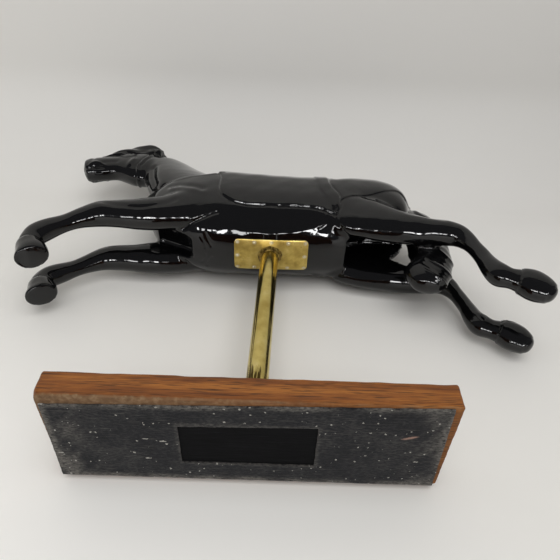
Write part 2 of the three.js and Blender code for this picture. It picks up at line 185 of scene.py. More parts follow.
def limb(stations, sides=16, square=2.0, narrow=0.0, spans=3, sole=False, blunt=False):
    """One ring is drawn, then extruded, sized and turned from station to station."""
    rows = flowing(stations, spans)
    rows[:, 3:] *= 3 / (2 + math.cos(2 * math.pi / sides))     # subdivision draws the ring in
    angles = np.unwrap(np.arctan2(np.gradient(rows[:, 2]), np.gradient(rows[:, 0])))
    rings = [(row[:3], row[3:], angle) for row, angle in zip(rows, angles)]

    def dome(ring, sign, sine):
        centre, half, angle = ring
        reach = sign * sine * min(half) * 0.7
        ahead = np.array([math.cos(angle), 0, math.sin(angle)]) * reach
        return centre + ahead, half * math.sqrt(1 - sine * sine), angle

    if not blunt:
        rings = [dome(rings[0], -1, 0.93), dome(rings[0], -1, 0.6)] + rings
    if sole:
        centre, half, angle = rings[-1]
        ahead = np.array([math.cos(angle), 0, math.sin(angle)])
        rings[-1:] = [(centre - ahead * 1.2, half, angle), (centre, half * 0.985, angle),
                      (centre + ahead * 0.05, half * 0.86, angle)]
    else:
        rings += [dome(rings[-1], 1, 0.6), dome(rings[-1], 1, 0.93)]
    centre, half, angle = rings[0]
    select_only()
    bpy.ops.mesh.primitive_circle_add(vertices=sides, radius=1, fill_type="NGON")
    piece = bpy.context.object
    bpy.ops.object.mode_set(mode="EDIT")
    drawn = bmesh.from_edit_mesh(piece.data)
    for vertex in drawn.verts:
        across, up = (math.copysign(abs(c) ** (2 / square), c) for c in vertex.co.xy)
        across *= 1 - narrow * up
        vertex.co = (0, across * half[1] * MM, up * half[0] * MM)
    bmesh.update_edit_mesh(piece.data)
    bpy.ops.mesh.select_all(action="SELECT")
    at = Vector(centre * MM)
    bpy.ops.transform.translate(value=at)
    bpy.ops.transform.rotate(value=angle, orient_axis="Y", center_override=at)
    for (c0, h0, a0), (c1, h1, a1) in zip(rings, rings[1:]):
        at = Vector(c1 * MM)
        bpy.ops.mesh.extrude_region_move(
            TRANSFORM_OT_translate={"value": tuple((c1 - c0) * MM)})
        bpy.ops.transform.rotate(value=-a0, orient_axis="Y", center_override=at)
        bpy.ops.transform.resize(value=(1, h1[1] / h0[1], h1[0] / h0[0]), center_override=at)
        bpy.ops.transform.rotate(value=a1, orient_axis="Y", center_override=at)
    close_piece()
    apply_modifier(piece, "SUBSURF", levels=2, render_levels=2)
    return piece


barrel = limb(TRUNK, sides=32, square=2.5, narrow=0.03)
barrel_points = [v.co + Vector((STAND_X, 0, 0)) for v in barrel.data.vertices]
barrel_skin = BVHTree.FromPolygons(barrel_points, [list(p.vertices) for p in barrel.data.polygons])
limbs = [barrel, limb(NECK, 20, narrow=0.25), limb(HEAD, 20, square=2.3), limb(TAIL, 24),
         limb(SEAT, 16)]
for side in (1, -1):
    limbs += [limb(ear(side), 10), limb(foreleg(side), 16, sole=True),
              limb(hindleg(side), 16)]
limbs += [limb(forelock(i), 10) for i in range(4)]
limbs += [limb(mane_lock(i), 10) for i in range(5)]
select_only(*limbs)
bpy.ops.object.join()
horse = bpy.context.object
horse.name = "carved_horse"
apply_modifier(horse, "REMESH", mode="VOXEL", voxel_size=JOINING_GRAIN * MM)
for stations in ([(-77, 0, 205, 33, 16.5), (-92, 0, 208, 35, 17), (-108, 0, 212, 34, 17),
                  (-130, 0, 218, 30, 17)],
                 [(67, 0, 196, 19, 11.5), (86, 0, 202, 23, 13), (108, 0, 212, 22, 13)]):
    cutter = limb(stations, 20, square=7, blunt=True)            # the hollow between a pair of legs
    apply_modifier(horse, "BOOLEAN", operation="DIFFERENCE", object=cutter, solver="EXACT")
    bpy.data.objects.remove(cutter)
apply_modifier(horse, "REMESH", mode="VOXEL", voxel_size=CARVING_GRAIN * MM, use_smooth_shade=True)


def points_of(piece):
    """A piece's points, in mm."""
    flat = np.empty(len(piece.data.vertices) * 3)
    piece.data.vertices.foreach_get("co", flat)
    return flat.reshape(-1, 3) / MM


def normals_of(piece):
    """The way a piece's skin faces at each of its points."""
    flat = np.empty(len(piece.data.vertices) * 3)
    piece.data.vertex_normals.foreach_get("vector", flat)
    return flat.reshape(-1, 3)


def move_points(piece, points):
    """Puts a piece's points at these places, in mm."""
    piece.data.vertices.foreach_set("co", (points * MM).ravel())
    piece.data.update()


def blend(low, high, value):
    """0 where the value is at low or beyond, 1 where it is at high, and smooth between."""
    t = np.clip((value - low) / (high - low), 0, 1)
    return t * t * (3 - 2 * t)


def blob(points, centre, *reach):
    """1 at the centre of an egg-shaped region, falling to 0 past its half axes."""
    reach = np.array(reach if len(reach) == 3 else reach * 3, float)
    return np.exp(-(((points - np.array(centre, float)) / reach) ** 2).sum(axis=1))


def swell(points, seed, sizes):
    """A soft uneven wave, about -1 to 1 or more, made of waves of the given sizes in mm."""
    directions = np.random.default_rng(seed).normal(size=(len(sizes), 3))
    total = np.zeros(len(points))
    for i, (direction, size) in enumerate(zip(directions, sizes)):
        total += np.sin(points @ (direction / np.linalg.norm(direction) * 2 * math.pi / size) + 2 * i)
    return total / math.sqrt(len(sizes) / 2)


def soften(piece, name, weights, turns, factor=0.5):
    """Smooths a piece where the weights say, in ten steps of strength."""
    group = piece.vertex_groups.new(name=name)
    levels = np.round(np.clip(weights, 0, 1) * 10).astype(int)
    for level in range(1, 11):
        found = np.flatnonzero(levels == level)
        if len(found):
            group.add(found.tolist(), level / 10, "REPLACE")
    apply_modifier(piece, "SMOOTH", factor=factor, iterations=turns, vertex_group=name)
    piece.vertex_groups.remove(piece.vertex_groups[name])


def cut_finer(piece, chosen):
    """Splits the faces that touch the chosen points into four."""
    select_only(piece)
    mesh = piece.data
    corners = np.empty(len(mesh.loops), int)
    mesh.loops.foreach_get("vertex_index", corners)
    starts = np.empty(len(mesh.polygons), int)
    mesh.polygons.foreach_get("loop_start", starts)
    picked = np.add.reduceat(chosen[corners].astype(int), starts) > 0
    mesh.vertices.foreach_set("select", np.zeros(len(mesh.vertices), bool))
    mesh.edges.foreach_set("select", np.zeros(len(mesh.edges), bool))
    mesh.polygons.foreach_set("select", picked)
    bpy.ops.object.mode_set(mode="EDIT")
    bpy.ops.mesh.select_mode(type="FACE")
    bpy.ops.mesh.subdivide(number_cuts=1, smoothness=0)
    bpy.ops.object.mode_set(mode="OBJECT")


apply_modifier(horse, "SMOOTH", factor=0.5, iterations=5)
skin = points_of(horse)
fore_hooves = (skin[:, 0] > 168) & (skin[:, 2] < 182)
cut_finer(horse, fore_hooves | ((skin[:, 0] < -202) & (skin[:, 2] < 152)))
skin = points_of(horse)
skin[:, 2] += np.clip(FORE_SOLE_Z - skin[:, 2], 0, None) * (skin[:, 0] > 160)     # sawn level
move_points(horse, skin)
joins = np.zeros(len(skin))
for side in (1, -1):
    joins += blob(skin, (50, side * 34, 250), 20, 14, 22)        # shoulder into body
    joins += blob(skin, (46, side * 36, 222), 14, 12, 12)        # elbow
    joins += blob(skin, (-74, side * 36, 248), 20, 14, 24)       # thigh into flank
    joins += 0.6 * blob(skin, (-66, side * 32, 214), 10, 10, 9)  # stifle
joins += blob(skin, (52, 0, 306), 24, 26, 12)                    # neck into withers
joins += blob(skin, (112, 0, 296), 14, 22, 18)                   # neck into breast
joins += blob(skin, (124, 0, 358), 10, 22, 24)                   # neck into jaw
joins += blob(skin, (-140, 0, 268), 12, 20, 16)                  # dock of the tail
soften(horse, "joins", joins, 24)


def outline(points, spans=4, closed=True):
    """A smooth line through points, back to the first one where it is closed."""
    if closed:
        return run_through(np.array(points[-1:] + points + points[:2], float), spans)
    known = np.array(points[:1] + points + points[-1:], float)
    return np.vstack([run_through(known, spans), known[-1]])


def distance_to(flat, line, closed=True):
    """Distance of points in a plane to a line drawn on it, and whether they lie inside it."""
    ends = np.roll(line, -1, axis=0) if closed else line[1:]
    best = np.full(len(flat), 1e9)
    inside = np.zeros(len(flat), bool)
    for a, b in zip(line, ends):
        run = b - a
        t = np.clip(((flat - a) @ run) / max(run @ run, 1e-9), 0, 1)
        best = np.minimum(best, np.hypot(*(flat - a - t[:, None] * run).T))
        crosses = (a[1] > flat[:, 1]) != (b[1] > flat[:, 1])
        if b[1] != a[1]:
            inside ^= crosses & (flat[:, 0] < a[0] + (flat[:, 1] - a[1]) * run[0] / run[1])
    return np.where(inside, best, -best) if closed else best


CLOTH = outline([(44, 300), (42, 262), (41, 240), (33, 228.6), (16, 223), (-20, 223.5),
                 (-48, 223.3), (-66, 219), (-69, 238), (-61, 260), (-57, 300), (-8, 330)])
BORDER = outline([(-64, 223), (-69, 238), (-61, 260), (-57, 320), (-46, 320), (-50, 262),
                  (-54, 243)])
RUMP = outline([(-60, 237), (-80, 239.5), (-96, 244), (-112, 253), (-128, 262), (-139, 261),
                (-150, 300), (-60, 330)])
CLOTH_LIFT = 1.4
BORDER_LIFT = 0.8
STRAP_LIFT = 1.0
GIRTH = (-6.7, 11.5)                 # middle and width of the strap under the belly


def tack_lines(points):
    """How far inside the edge of each piece of tack the points lie, below 0 outside it."""
    side_on = points[:, (0, 2)]
    return (distance_to(side_on, CLOTH), distance_to(side_on, BORDER), distance_to(side_on, RUMP),
            GIRTH[1] / 2 - np.abs(points[:, 0] - GIRTH[0]))


skin = points_of(horse)
cloth, border, rump, girth = tack_lines(skin)
on_body = (skin[:, 0] < 60) & (skin[:, 2] > 196)
near = on_body & ((np.abs(cloth) < 2.4) | (np.abs(border) < 2) | (np.abs(rump) < 2)
                  | ((np.abs(girth) < 2) & (skin[:, 2] < 226)))
cut_finer(horse, near)

skin = points_of(horse)
cloth, border, rump, girth = tack_lines(skin)
off_tail = 1 - blend(-128, -134, skin[:, 0]) * (1 - blend(8, 12, np.abs(skin[:, 1])))
raised = (CLOTH_LIFT * blend(-0.7, 0.7, cloth) + BORDER_LIFT * blend(-0.6, 0.6, border) * (cloth > -2)
          + STRAP_LIFT * blend(-0.6, 0.6, rump) * (1 - blend(-0.7, 0.7, cloth)) * off_tail
          + STRAP_LIFT * 0.6 * blend(-0.6, 0.6, girth) * (1 - blend(-0.7, 0.7, cloth))
          * (skin[:, 2] < 230))
raised -= 0.5 * np.exp(-((cloth + 1.4) / 0.9) ** 2)
raised[skin[:, 0] > 60] = 0
move_points(horse, skin + normals_of(horse) * raised[:, None])


def nearest_finder(points):
    """Finds the nearest of the points on the left side of the horse."""
    finder = KDTree(len(points))
    for index, point in enumerate(points):
        if point[1] > -2:
            finder.insert(point, index)
    finder.balance()
    return finder


def away_from(points, line, finder):
    """Distance of points to a line laid on the skin, taken alike on both sides of the horse."""
    near = np.abs(points) * (0, 1, 0) + points * (1, 0, 1)
    line = np.array([finder.find(point)[0] for point in outline(line, closed=False)])
    line[1:-1] = (line[:-2] + 2 * line[1:-1] + line[2:]) / 4
    best = np.full(len(points), 1e9)
    for a, b in zip(line, line[1:]):
        run = b - a
        t = np.clip(((near - a) @ run) / max(run @ run, 1e-9), 0, 1)
        best = np.minimum(best, np.linalg.norm(near - a - t[:, None] * run, axis=1))
    return best


# Each cut or ridge runs along a line: its height above the skin, its width, and its points.
CUTS = [
    (0.5, 2.4, [(10, 21.3, 203.8), (-4, 21, 203.6), (-20, 22, 204),
                (-41, 25, 207), (-51, 29, 209), (-58, 35, 216)]),                 # edge of the belly
    (-1.5, 2.0, [(72, 19, 211), (62, 26, 211.5), (52, 32, 212), (42, 36, 214)]),  # under the elbow
    (0.9, 1.5, [(126, 8, 387), (130, 9, 380), (134, 13, 364), (138.6, 14.8, 351.5),
                (140, 14.4, 345.7), (143, 13.9, 340.5), (142.3, 8.8, 333.5), (142.4, 0, 329)]),
    (-0.6, 1.0, [(128.5, 8, 389), (132.5, 10, 381), (136.5, 14, 365), (141.2, 15, 352),
                 (142.6, 14.6, 346), (145.6, 13.9, 340), (145, 8.8, 333), (145, 0, 329)]),
    (-0.5, 1.0, [(123.5, 8, 385), (127.5, 9, 379), (131.5, 12.6, 363), (136, 14.6, 351),
                 (137.4, 14.2, 345), (140.4, 13.7, 340), (139.6, 8.6, 333.5), (139.6, 0, 330)]),
    (-1.0, 1.1, [(206, 2, 343), (203, 6, 341), (197, 9.5, 338), (189, 10.4, 337), (181, 11, 338)]),
    (0.9, 1.6, [(197, 9, 344), (193, 10.4, 348), (187, 11, 348), (181, 11, 344)]),  # nostril
    (-2.6, 2.2, [(193, 9.6, 342), (188, 11, 343.5), (183.5, 11.2, 342)]),
    (0.8, 2.4, [(202, 4, 358), (202, 8, 350), (201, 8, 342), (200, 4, 337)]),       # rim of the lips
    (-0.7, 2.0, [(196, 5, 363), (196.5, 10, 352)]),
    (1.0, 1.5, [(151, 14, 363), (156, 14.5, 368.5), (162, 13.8, 368.5), (167, 12.5, 364)]),  # lids
    (0.7, 1.2, [(151, 14, 363), (156, 14.5, 360.5), (162, 13.8, 360.5), (167, 12.5, 364)]),
    (0.8, 2.2, [(155, 14, 364.5), (162, 14, 364.5)]),                             # eyeball
    (-0.6, 2.6, [(150, 13, 372), (158, 13, 374), (167, 11, 371)]),                # above the eye
    (-0.8, 3.4, [(170, 12, 352), (180, 11, 350), (187, 11, 346)]),                # along the cheekbone
    (1.2, 3.4, [(150, 14, 352), (153, 13, 345)]),                                 # cheek
    (-1.2, 7.0, [(34, 34, 213), (10, 32.5, 211), (-15, 32.5, 211), (-40, 34, 214)]),
    (-1.4, 2.2, [(-66, 39, 222), (-64, 36, 219), (-68.6, 30, 208), (-74, 23, 204)]),  # flank fold
    (0.8, 2.2, [(-57.6, 37, 221), (-57.7, 31, 212), (-50, 28, 209)]),
    (-0.9, 3.5, [(90, 35, 257), (76, 40, 252), (57, 42.4, 243)]),                 # shoulder blade
    (0.5, 3.5, [(88, 37, 249), (72, 42, 244), (56, 43, 236)]),
    (-0.8, 2.6, [(147, 34, 222), (130, 35.4, 218), (112, 36.5, 215), (93, 38.5, 218), (80, 40, 225)]),
    (-0.6, 1.2, [(52, 18, 204.5), (49.4, 12, 203.2), (46.8, 6.3, 202.2)]),        # crease of the chest
    (-0.5, 1.0, [(56, 14, 205), (53, 9, 203.6), (52, 4, 203)]),
    (-2.0, 1.4, [(117, 12, 266), (115.9, 15.2, 274), (110, 15, 284), (104.3, 19.4, 289.5),
                 (98, 26, 281), (92, 32, 273.5), (86, 35, 272), (80.8, 36.5, 273),
                 (72.4, 37.6, 275.5), (62, 39, 277), (52, 40.5, 278), (42.2, 41.4, 278.7)]),
    (0.6, 2.2, [(88, 35, 269), (81, 38, 269.5), (72, 39, 272), (60, 41, 274), (45, 42, 275.5)]),
    (-2.2, 5.0, [(123, 11, 334), (121, 13, 316), (117, 13, 301)]),               # throat
    (-0.7, 4.0, [(-92, 42, 240), (-112, 41, 232), (-128, 38, 222)]),              # thigh muscle
    (-0.6, 2.6, [(-128, 40, 215), (-146, 38, 211), (-160, 38, 209)]),
]


def round_limb(points, stations):
    """Where points lie round a limb: how far along it (0 to 1), the turn round it, and how far
    out, as a share of its own size there."""
    rows = flowing(stations, 6)
    ways = np.gradient(rows[:, (0, 2)], axis=0)
    ways /= np.linalg.norm(ways, axis=1)[:, None]
    nearest = np.argmin(((points[:, None, (0, 2)] - rows[None, :, (0, 2)]) ** 2).sum(axis=2), axis=1)
    row, way = rows[nearest], ways[nearest]
    rise = ((points[:, 2] - row[:, 2]) * way[:, 0] - (points[:, 0] - row[:, 0]) * way[:, 1]) / row[:, 3]
    across = (points[:, 1] - row[:, 1]) / row[:, 4]
    return nearest / (len(rows) - 1), np.arctan2(rise, across), np.hypot(rise, across)


skin = points_of(horse)
head = (skin[:, 0] > 122) & (skin[:, 2] > 334)
fine = head | ((skin[:, 0] < -124) & (np.abs(skin[:, 1]) < 17) & (skin[:, 2] < 262))
finder = nearest_finder(skin)
for _, width, line in CUTS:
    if width < 2.3 and line[0][2] < 320:
        fine |= away_from(skin, line, finder) < width + 1
cut_finer(horse, fine)
skin = points_of(horse)
brow = blend(122, 128, skin[:, 0]) * blend(204, 188, skin[:, 0])
brow *= blend(0, 3, skin[:, 2] - np.interp(skin[:, 0], (120, 150, 170, 190), (376, 375, 368, 363)))
hair = horse.vertex_groups.new(name="forelock")
for index in np.flatnonzero(brow > 0.02):
    hair.add([int(index)], float(brow[index]), "REPLACE")
apply_modifier(horse, "SMOOTH", factor=0.5, iterations=26, vertex_group="forelock")
horse.vertex_groups.clear()
skin = points_of(horse)
lift = np.zeros(len(skin))
tail_skin = np.flatnonzero((skin[:, 0] < -118) & (np.abs(skin[:, 1]) < 19) & (skin[:, 2] > 140))
along, turn, out = round_limb(skin[tail_skin], TAIL)
back, aside, high = skin[tail_skin, 0] + 150, skin[tail_skin, 1], skin[tail_skin, 2]
sweep = (0.75 * aside - 0.66 * back + 0.3 * (high - 190) + 1.6 * np.sin(high / 13)
         + 0.02 * back * aside)
strands = 1 - 1.7 * np.abs(np.sin(math.pi * sweep / 8.5)) ** 0.6
finer = 0.1 * np.cos(2 * math.pi * sweep / 2.83)
smooth_end = 1 - blend(0.5, 0.72, along) * blend(-7, 2, 0.7 * back - 0.7 * aside)
smooth_end *= blend(0.1, 0.25, along) * blend(0.3, 0.6, out)
lift[tail_skin] += 0.85 * (strands + finer) * smooth_end
for side in (1, -1):
    for leg, hoof, crown, slanted in ((foreleg(side), 10.05, 10.5, True),
                                      (hindleg(side), 10.4, 10.85, False)):
        rows = np.array(leg)
        low, high = rows[-6:, :3].min(axis=0) - 16, rows[-6:, :3].max(axis=0) + 16
        foot = np.flatnonzero(((skin > low) & (skin < high)).all(axis=1))
        along, turn, out = round_limb(skin[foot], leg)
        along *= len(leg) - 1
        wall = blend(0.8, 0.95, out)
        lift[foot] += wall * (0.7 * blend(hoof, crown, along)
                              - 0.9 * np.exp(-((along - crown + 0.15) / 0.16) ** 2))
        if slanted:
            tip = blend(10.2, 13, along) * 0.27
            skin[foot, 2] += tip * (188 - skin[foot, 0])              # the sole slants up to the heel
turn = np.arctan2(skin[:, 2] - 368, np.abs(skin[:, 1]) + 2)
lift += brow * (0.9 * np.cos(17 * turn + 1.8 * np.sin(skin[:, 0] / 7)) + 0.3)
finder = nearest_finder(skin)
for height, width, line in CUTS:
    lift += height * np.exp(-(away_from(skin, line, finder) / width) ** 2)
calm = 1 - 0.75 * blend(60, 80, skin[:, 0]) * blend(262, 280, skin[:, 2])
lift += 0.14 * calm * swell(skin, 7, np.linspace(12, 40, 14))        # the hand-sanded wood
move_points(horse, skin + normals_of(horse) * lift[:, None])

skin = points_of(horse)
move_points(horse, skin + np.array([STAND_X / MM, 0, 0]))
faces = sum(len(face.vertices) - 2 for face in horse.data.polygons)
apply_modifier(horse, "DECIMATE", ratio=min(1, HORSE_TRIANGLES / faces))
select_only(horse)
bpy.ops.object.shade_smooth()


def linear(code):
    """A colour written as sRGB hex, as the shader takes it."""
    parts = [int(code[i:i + 2], 16) / 255 for i in (1, 3, 5)]
    return tuple(p / 12.92 if p <= 0.04045 else ((p + 0.055) / 1.055) ** 2.4 for p in parts) + (1,)


def every(*sizes):
    """The scale of a pattern that repeats at one size in mm, or at three, along X, Y and Z."""
    scales = tuple(1 / (size * MM) for size in sizes)
    return scales if len(scales) > 1 else scales[0]


def add_node(tree, kind, **values):
    """Adds a node with its own settings first, and then its inputs. An input is named, or numbered
    as i0, and takes a number, an sRGB hex colour, or another node and the output to link."""
    node = tree.nodes.new("ShaderNode" + kind)
    for key, value in values.items():
        if hasattr(node, key):
            setattr(node, key, value)
            continue
        numbered = key[0] == "i" and key[1:].isdigit()
        socket = node.inputs[int(key[1:]) if numbered else key.replace("_", " ")]
        if isinstance(value, tuple) and hasattr(value[0], "outputs"):
            tree.links.new(value[0].outputs[value[1]], socket)
        else:
            socket.default_value = linear(value) if isinstance(value, str) else value
    return node


def new_material(name):
    """An empty material, with the one node that tells each point its place."""
    material = bpy.data.materials.new(name)
    material.use_nodes = True
    tree = material.node_tree
    tree.nodes.clear()
    return material, tree, add_node(tree, "TexCoord")


# Black lacquer: brushed coats over sanded wood, deep and wet-looking, with a faint orange peel.
material, tree, place = new_material("black_gloss_lacquer")
peel = add_node(tree, "TexNoise", Vector=(place, "Object"), Scale=every(6.25), Detail=1.0)
rolls = add_node(tree, "TexNoise", Vector=(place, "Object"), Scale=every(18.18), Detail=2.0)
waves = add_node(tree, "Math", operation="MULTIPLY_ADD", i0=(peel, "Fac"), i1=0.2, i2=(rolls, "Fac"))
bump = add_node(tree, "Bump", Height=(waves, "Value"), Strength=0.25, Distance=0.0012)
haze = add_node(tree, "TexNoise", Vector=(place, "Object"), Scale=every(33.33), Detail=3.0)
rough = add_node(tree, "MapRange", Value=(haze, "Fac"), From_Min=0.35, From_Max=0.75, To_Min=0.035,
                 To_Max=0.1)
surface = add_node(tree, "BsdfPrincipled", Base_Color="#080809", Roughness=(rough, "Result"),
                   IOR=1.46, Normal=(bump, "Normal"))
add_node(tree, "OutputMaterial", Surface=(surface, "BSDF"))
horse.data.materials.append(material)
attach(horse, "root")
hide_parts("horse")

# ---------------------------------------------------------------- belly plate
# A piece of sheet brass with rounded corners, cut with shears, bent to the belly and let into it,
# so that the girth stops at its edges. It carries the pole, and has dulled to a satin finish.

PLATE_CORNER = 4
PLATE_THICKNESS = 1.2
PLATE_DROP = 1.6                     # its outer face stands this far below the bare barrel
POLE_RADIUS = 8
POLE_LENGTH = 179
POLE_LEAN = 0.031                    # radians, towards the tail
plate_low, plate_high = (Vector(corner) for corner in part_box("belly_plate"))
pole_high = Vector(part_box("pole")[1])
pole_way = Vector((-math.sin(POLE_LEAN), 0, math.cos(POLE_LEAN)))
pole_foot = Vector((pole_high.x - POLE_RADIUS * MM, 0, base_high[2]))
pole_top = pole_foot + pole_way * POLE_LENGTH * MM
UP = Vector((0, 0, 1))


def above(spot, skin):
    """Where a line straight up from below the belly meets a skin, and which way the skin faces."""
    return skin.ray_cast(Vector((spot.x, spot.y, pole_foot.z)), UP)[:2]


def stops(ramp, *pairs):
    """Sets the colours of a colour ramp: each pair is a place and an sRGB hex colour."""
    elements = ramp.color_ramp.elements
    while len(elements) < len(pairs):
        elements.new(0.5)
    for element, (position, code) in zip(elements, pairs):
        element.position = position
        element.color = linear(code)


select_only()
bpy.ops.mesh.primitive_plane_add(size=1)
plate = open_piece("bent_belly_plate")
size = plate_high - plate_low
bpy.ops.transform.resize(value=(size.x, size.y, 1), center_override=(0, 0, 0))
bpy.ops.transform.translate(value=((plate_low.x + plate_high.x) / 2, 0, 0))
bpy.ops.mesh.bevel(offset=PLATE_CORNER * MM, segments=8, affect="VERTICES")
for axis in (0, 1):
    for at in np.arange(plate_low[axis] + MM, plate_high[axis] - 0.5 * MM, MM):
        bpy.ops.mesh.select_all(action="SELECT")
        bpy.ops.mesh.bisect(plane_co=(at, at, 0), plane_no=(1 - axis, axis, 0))
bpy.ops.object.mode_set(mode="OBJECT")
for vertex in plate.data.vertices:
    spot, facing = above(vertex.co, barrel_skin)
    vertex.co.z = spot.z - PLATE_DROP * MM / max(abs(facing.z), 0.4)
plate.data.flip_normals()
flat = points_of(plate)
dents = swell(flat, 3, np.linspace(14, 34, 6)) * 0.07                # left by the hammer
move_points(plate, flat + dents[:, None] * (0, 0, 1))
apply_modifier(plate, "SOLIDIFY", thickness=PLATE_THICKNESS * MM, offset=-1)
apply_modifier(plate, "BEVEL", width=0.3 * MM, segments=2, limit_method="ANGLE",
               angle_limit=math.radians(40))
select_only(plate)
bpy.ops.object.shade_smooth_by_angle(angle=math.radians(35))
plate_skin = BVHTree.FromPolygons([v.co.copy() for v in plate.data.vertices],
                                  [list(p.vertices) for p in plate.data.polygons])
pin_places = {name: (Vector(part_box(name)[0]) + Vector(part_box(name)[1])) / 2
              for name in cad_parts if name.startswith("plate_pin")}
flat = points_of(plate)[:, None, :2]
ring = np.array([spot.xy for spot in pin_places.values()])[None] / MM
from_pins = plate.data.attributes.new("pin_distance", "FLOAT", "POINT")
from_pins.data.foreach_set("value", np.linalg.norm(flat - ring, axis=2).min(axis=1))

# Rolled sheet brass, rubbed with polish and dulled since: soft rub marks both ways, olive and brown
# clouds, polish dried white round the pins, and heat colour from the brazing round the pole. The
# rub marks are drawn coarser than real ones, so that they show.
material, tree, place = new_material("satin_sheet_brass")
cloud = add_node(tree, "TexNoise", Vector=(place, "Object"), Scale=every(14.29), Detail=4.0,
                 Roughness=0.6)
tone = add_node(tree, "ValToRGB", Fac=(cloud, "Fac"))
stops(tone, (0.34, "#a38b49"), (0.5, "#c3aa5e"), (0.66, "#dcc67c"))
rubbed = add_node(tree, "Mapping", Vector=(place, "Object"), Scale=every(11.11, 0.7143, 1.429),
                  Rotation=(0, 0, 0.35))
marks = add_node(tree, "TexNoise", Vector=(rubbed, "Vector"), Scale=1.0, Detail=4.0)
crossed = add_node(tree, "Mapping", Vector=(place, "Object"), Scale=every(0.8333, 9.091, 1.429),
                   Rotation=(0, 0, -0.2))
other = add_node(tree, "TexNoise", Vector=(crossed, "Vector"), Scale=1.0, Detail=3.0)
grain = add_node(tree, "Math", operation="ADD", i0=(marks, "Fac"), i1=(other, "Fac"))
blotch = add_node(tree, "TexNoise", Vector=(place, "Object"), Scale=every(3.03), Detail=3.0)
to_pole = add_node(tree, "VectorMath", operation="DISTANCE", i0=(place, "Object"), i1=tuple(pole_top))
heat = add_node(tree, "MapRange", Value=(to_pole, "Value"), From_Min=0.0085, From_Max=0.0165,
                To_Min=0.85, To_Max=0.0)
uneven = add_node(tree, "Math", operation="MULTIPLY", i0=(heat, "Result"), i1=(blotch, "Fac"))
warmed = add_node(tree, "Mix", data_type="RGBA", i0=(uneven, "Value"), i6=(tone, "Color"),
                  i7="#6b5427")
spots = add_node(tree, "MapRange", Value=(blotch, "Fac"), From_Min=0.66, From_Max=0.76, To_Max=0.7)
stained = add_node(tree, "Mix", data_type="RGBA", i0=(spots, "Result"), i6=(warmed, 2), i7="#7d6a35")
pins = add_node(tree, "Attribute", attribute_name="pin_distance")
chalk = add_node(tree, "MapRange", Value=(pins, "Fac"), From_Min=1.3, From_Max=2.3, To_Min=1.5,
                 To_Max=0.0)
broken = add_node(tree, "Math", operation="MULTIPLY", use_clamp=True, i0=(chalk, "Result"),
                  i1=(blotch, "Fac"))
colour = add_node(tree, "Mix", data_type="RGBA", i0=(broken, "Value"), i6=(stained, 2), i7="#d9d2ba")
metal = add_node(tree, "MapRange", Value=(broken, "Value"), To_Min=1.0, To_Max=0.35)
rough = add_node(tree, "MapRange", Value=(grain, "Value"), From_Min=0.7, From_Max=1.3, To_Min=0.26,
                 To_Max=0.42)
bump = add_node(tree, "Bump", Height=(grain, "Value"), Strength=0.35, Distance=0.0002)
surface = add_node(tree, "BsdfPrincipled", Base_Color=(colour, 2), Metallic=(metal, "Result"),
                   Roughness=(rough, "Result"), Normal=(bump, "Normal"))
add_node(tree, "OutputMaterial", Surface=(surface, "BSDF"))
plate.data.materials.append(material)
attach(plate, "root")
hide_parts("belly_plate")

# ---------------------------------------------------------------- plate pins
# Twelve small domed brass pins, driven through the plate round its edge. Polish has worn their
# heads pale, and each sits square to the plate where the plate bends.

PIN_RADIUS = 1.1
PIN_SUNK = 0.5                       # how far its rim reaches into the plate


def extrude_profile(profile):
    """Draws the selected ring up through pairs of a height in mm and a width, like a turner."""
    for (low, wide), (high, next_wide) in zip(profile, profile[1:]):
        bpy.ops.mesh.extrude_region_move(TRANSFORM_OT_translate={"value": (0, 0, (high - low) * MM)})
        bpy.ops.transform.resize(value=(next_wide / wide, next_wide / wide, 1),
                                 center_override=(0, 0, 0))


select_only()
bpy.ops.mesh.primitive_circle_add(vertices=20, radius=PIN_RADIUS * MM, fill_type="NGON")
pin = open_piece("domed_pin")
extrude_profile([(-PIN_SUNK, 1.0), (0.12, 1.0), (0.35, 0.93), (0.56, 0.76), (0.71, 0.5), (0.78, 0.2)])
bpy.ops.mesh.select_all(action="SELECT")
bpy.ops.transform.translate(value=(0, 0, -PIN_SUNK * MM))
close_piece()
bpy.ops.object.shade_smooth_by_angle(angle=math.radians(50))

# Brass pins rubbed pale by polish, with brown left in the ring round each head.
material, tree, place = new_material("polished_brass_pin")
wear = add_node(tree, "TexNoise", Vector=(place, "Object"), Scale=every(1.111), Detail=2.0)
tone = add_node(tree, "ValToRGB", Fac=(wear, "Fac"))
stops(tone, (0.35, "#a8945a"), (0.5, "#e0d6b4"), (0.75, "#efe8d2"))
rough = add_node(tree, "MapRange", Value=(wear, "Fac"), To_Min=0.2, To_Max=0.5)
bump = add_node(tree, "Bump", Height=(wear, "Fac"), Strength=0.4, Distance=0.0001)
surface = add_node(tree, "BsdfPrincipled", Base_Color=(tone, "Color"), Metallic=1.0,
                   Roughness=(rough, "Result"), Normal=(bump, "Normal"))
add_node(tree, "OutputMaterial", Surface=(surface, "BSDF"))

for index, (name, spot) in enumerate(pin_places.items()):
    on_plate, facing = above(spot, plate_skin)
    head = pin.copy()
    head.data = pin.data.copy()
    head.name = f"domed_{name}"
    bpy.context.collection.objects.link(head)
    turned = UP.rotation_difference(facing).to_matrix().to_4x4()
    uneven = Matrix.Scale(1 + 0.04 * math.sin(5 * index), 4)
    head.data.transform(Matrix.Translation(on_plate) @ turned @ uneven)
    head.data.materials.append(material)
    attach(head, "root")
    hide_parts(name)
bpy.data.objects.remove(pin)

# ---------------------------------------------------------------- pole
# A straight drawn brass tube, polished, standing on the base and leaning a little to the tail. It
# runs up to the plate. Tarnish has crept up from the foot and down from the brazed end.

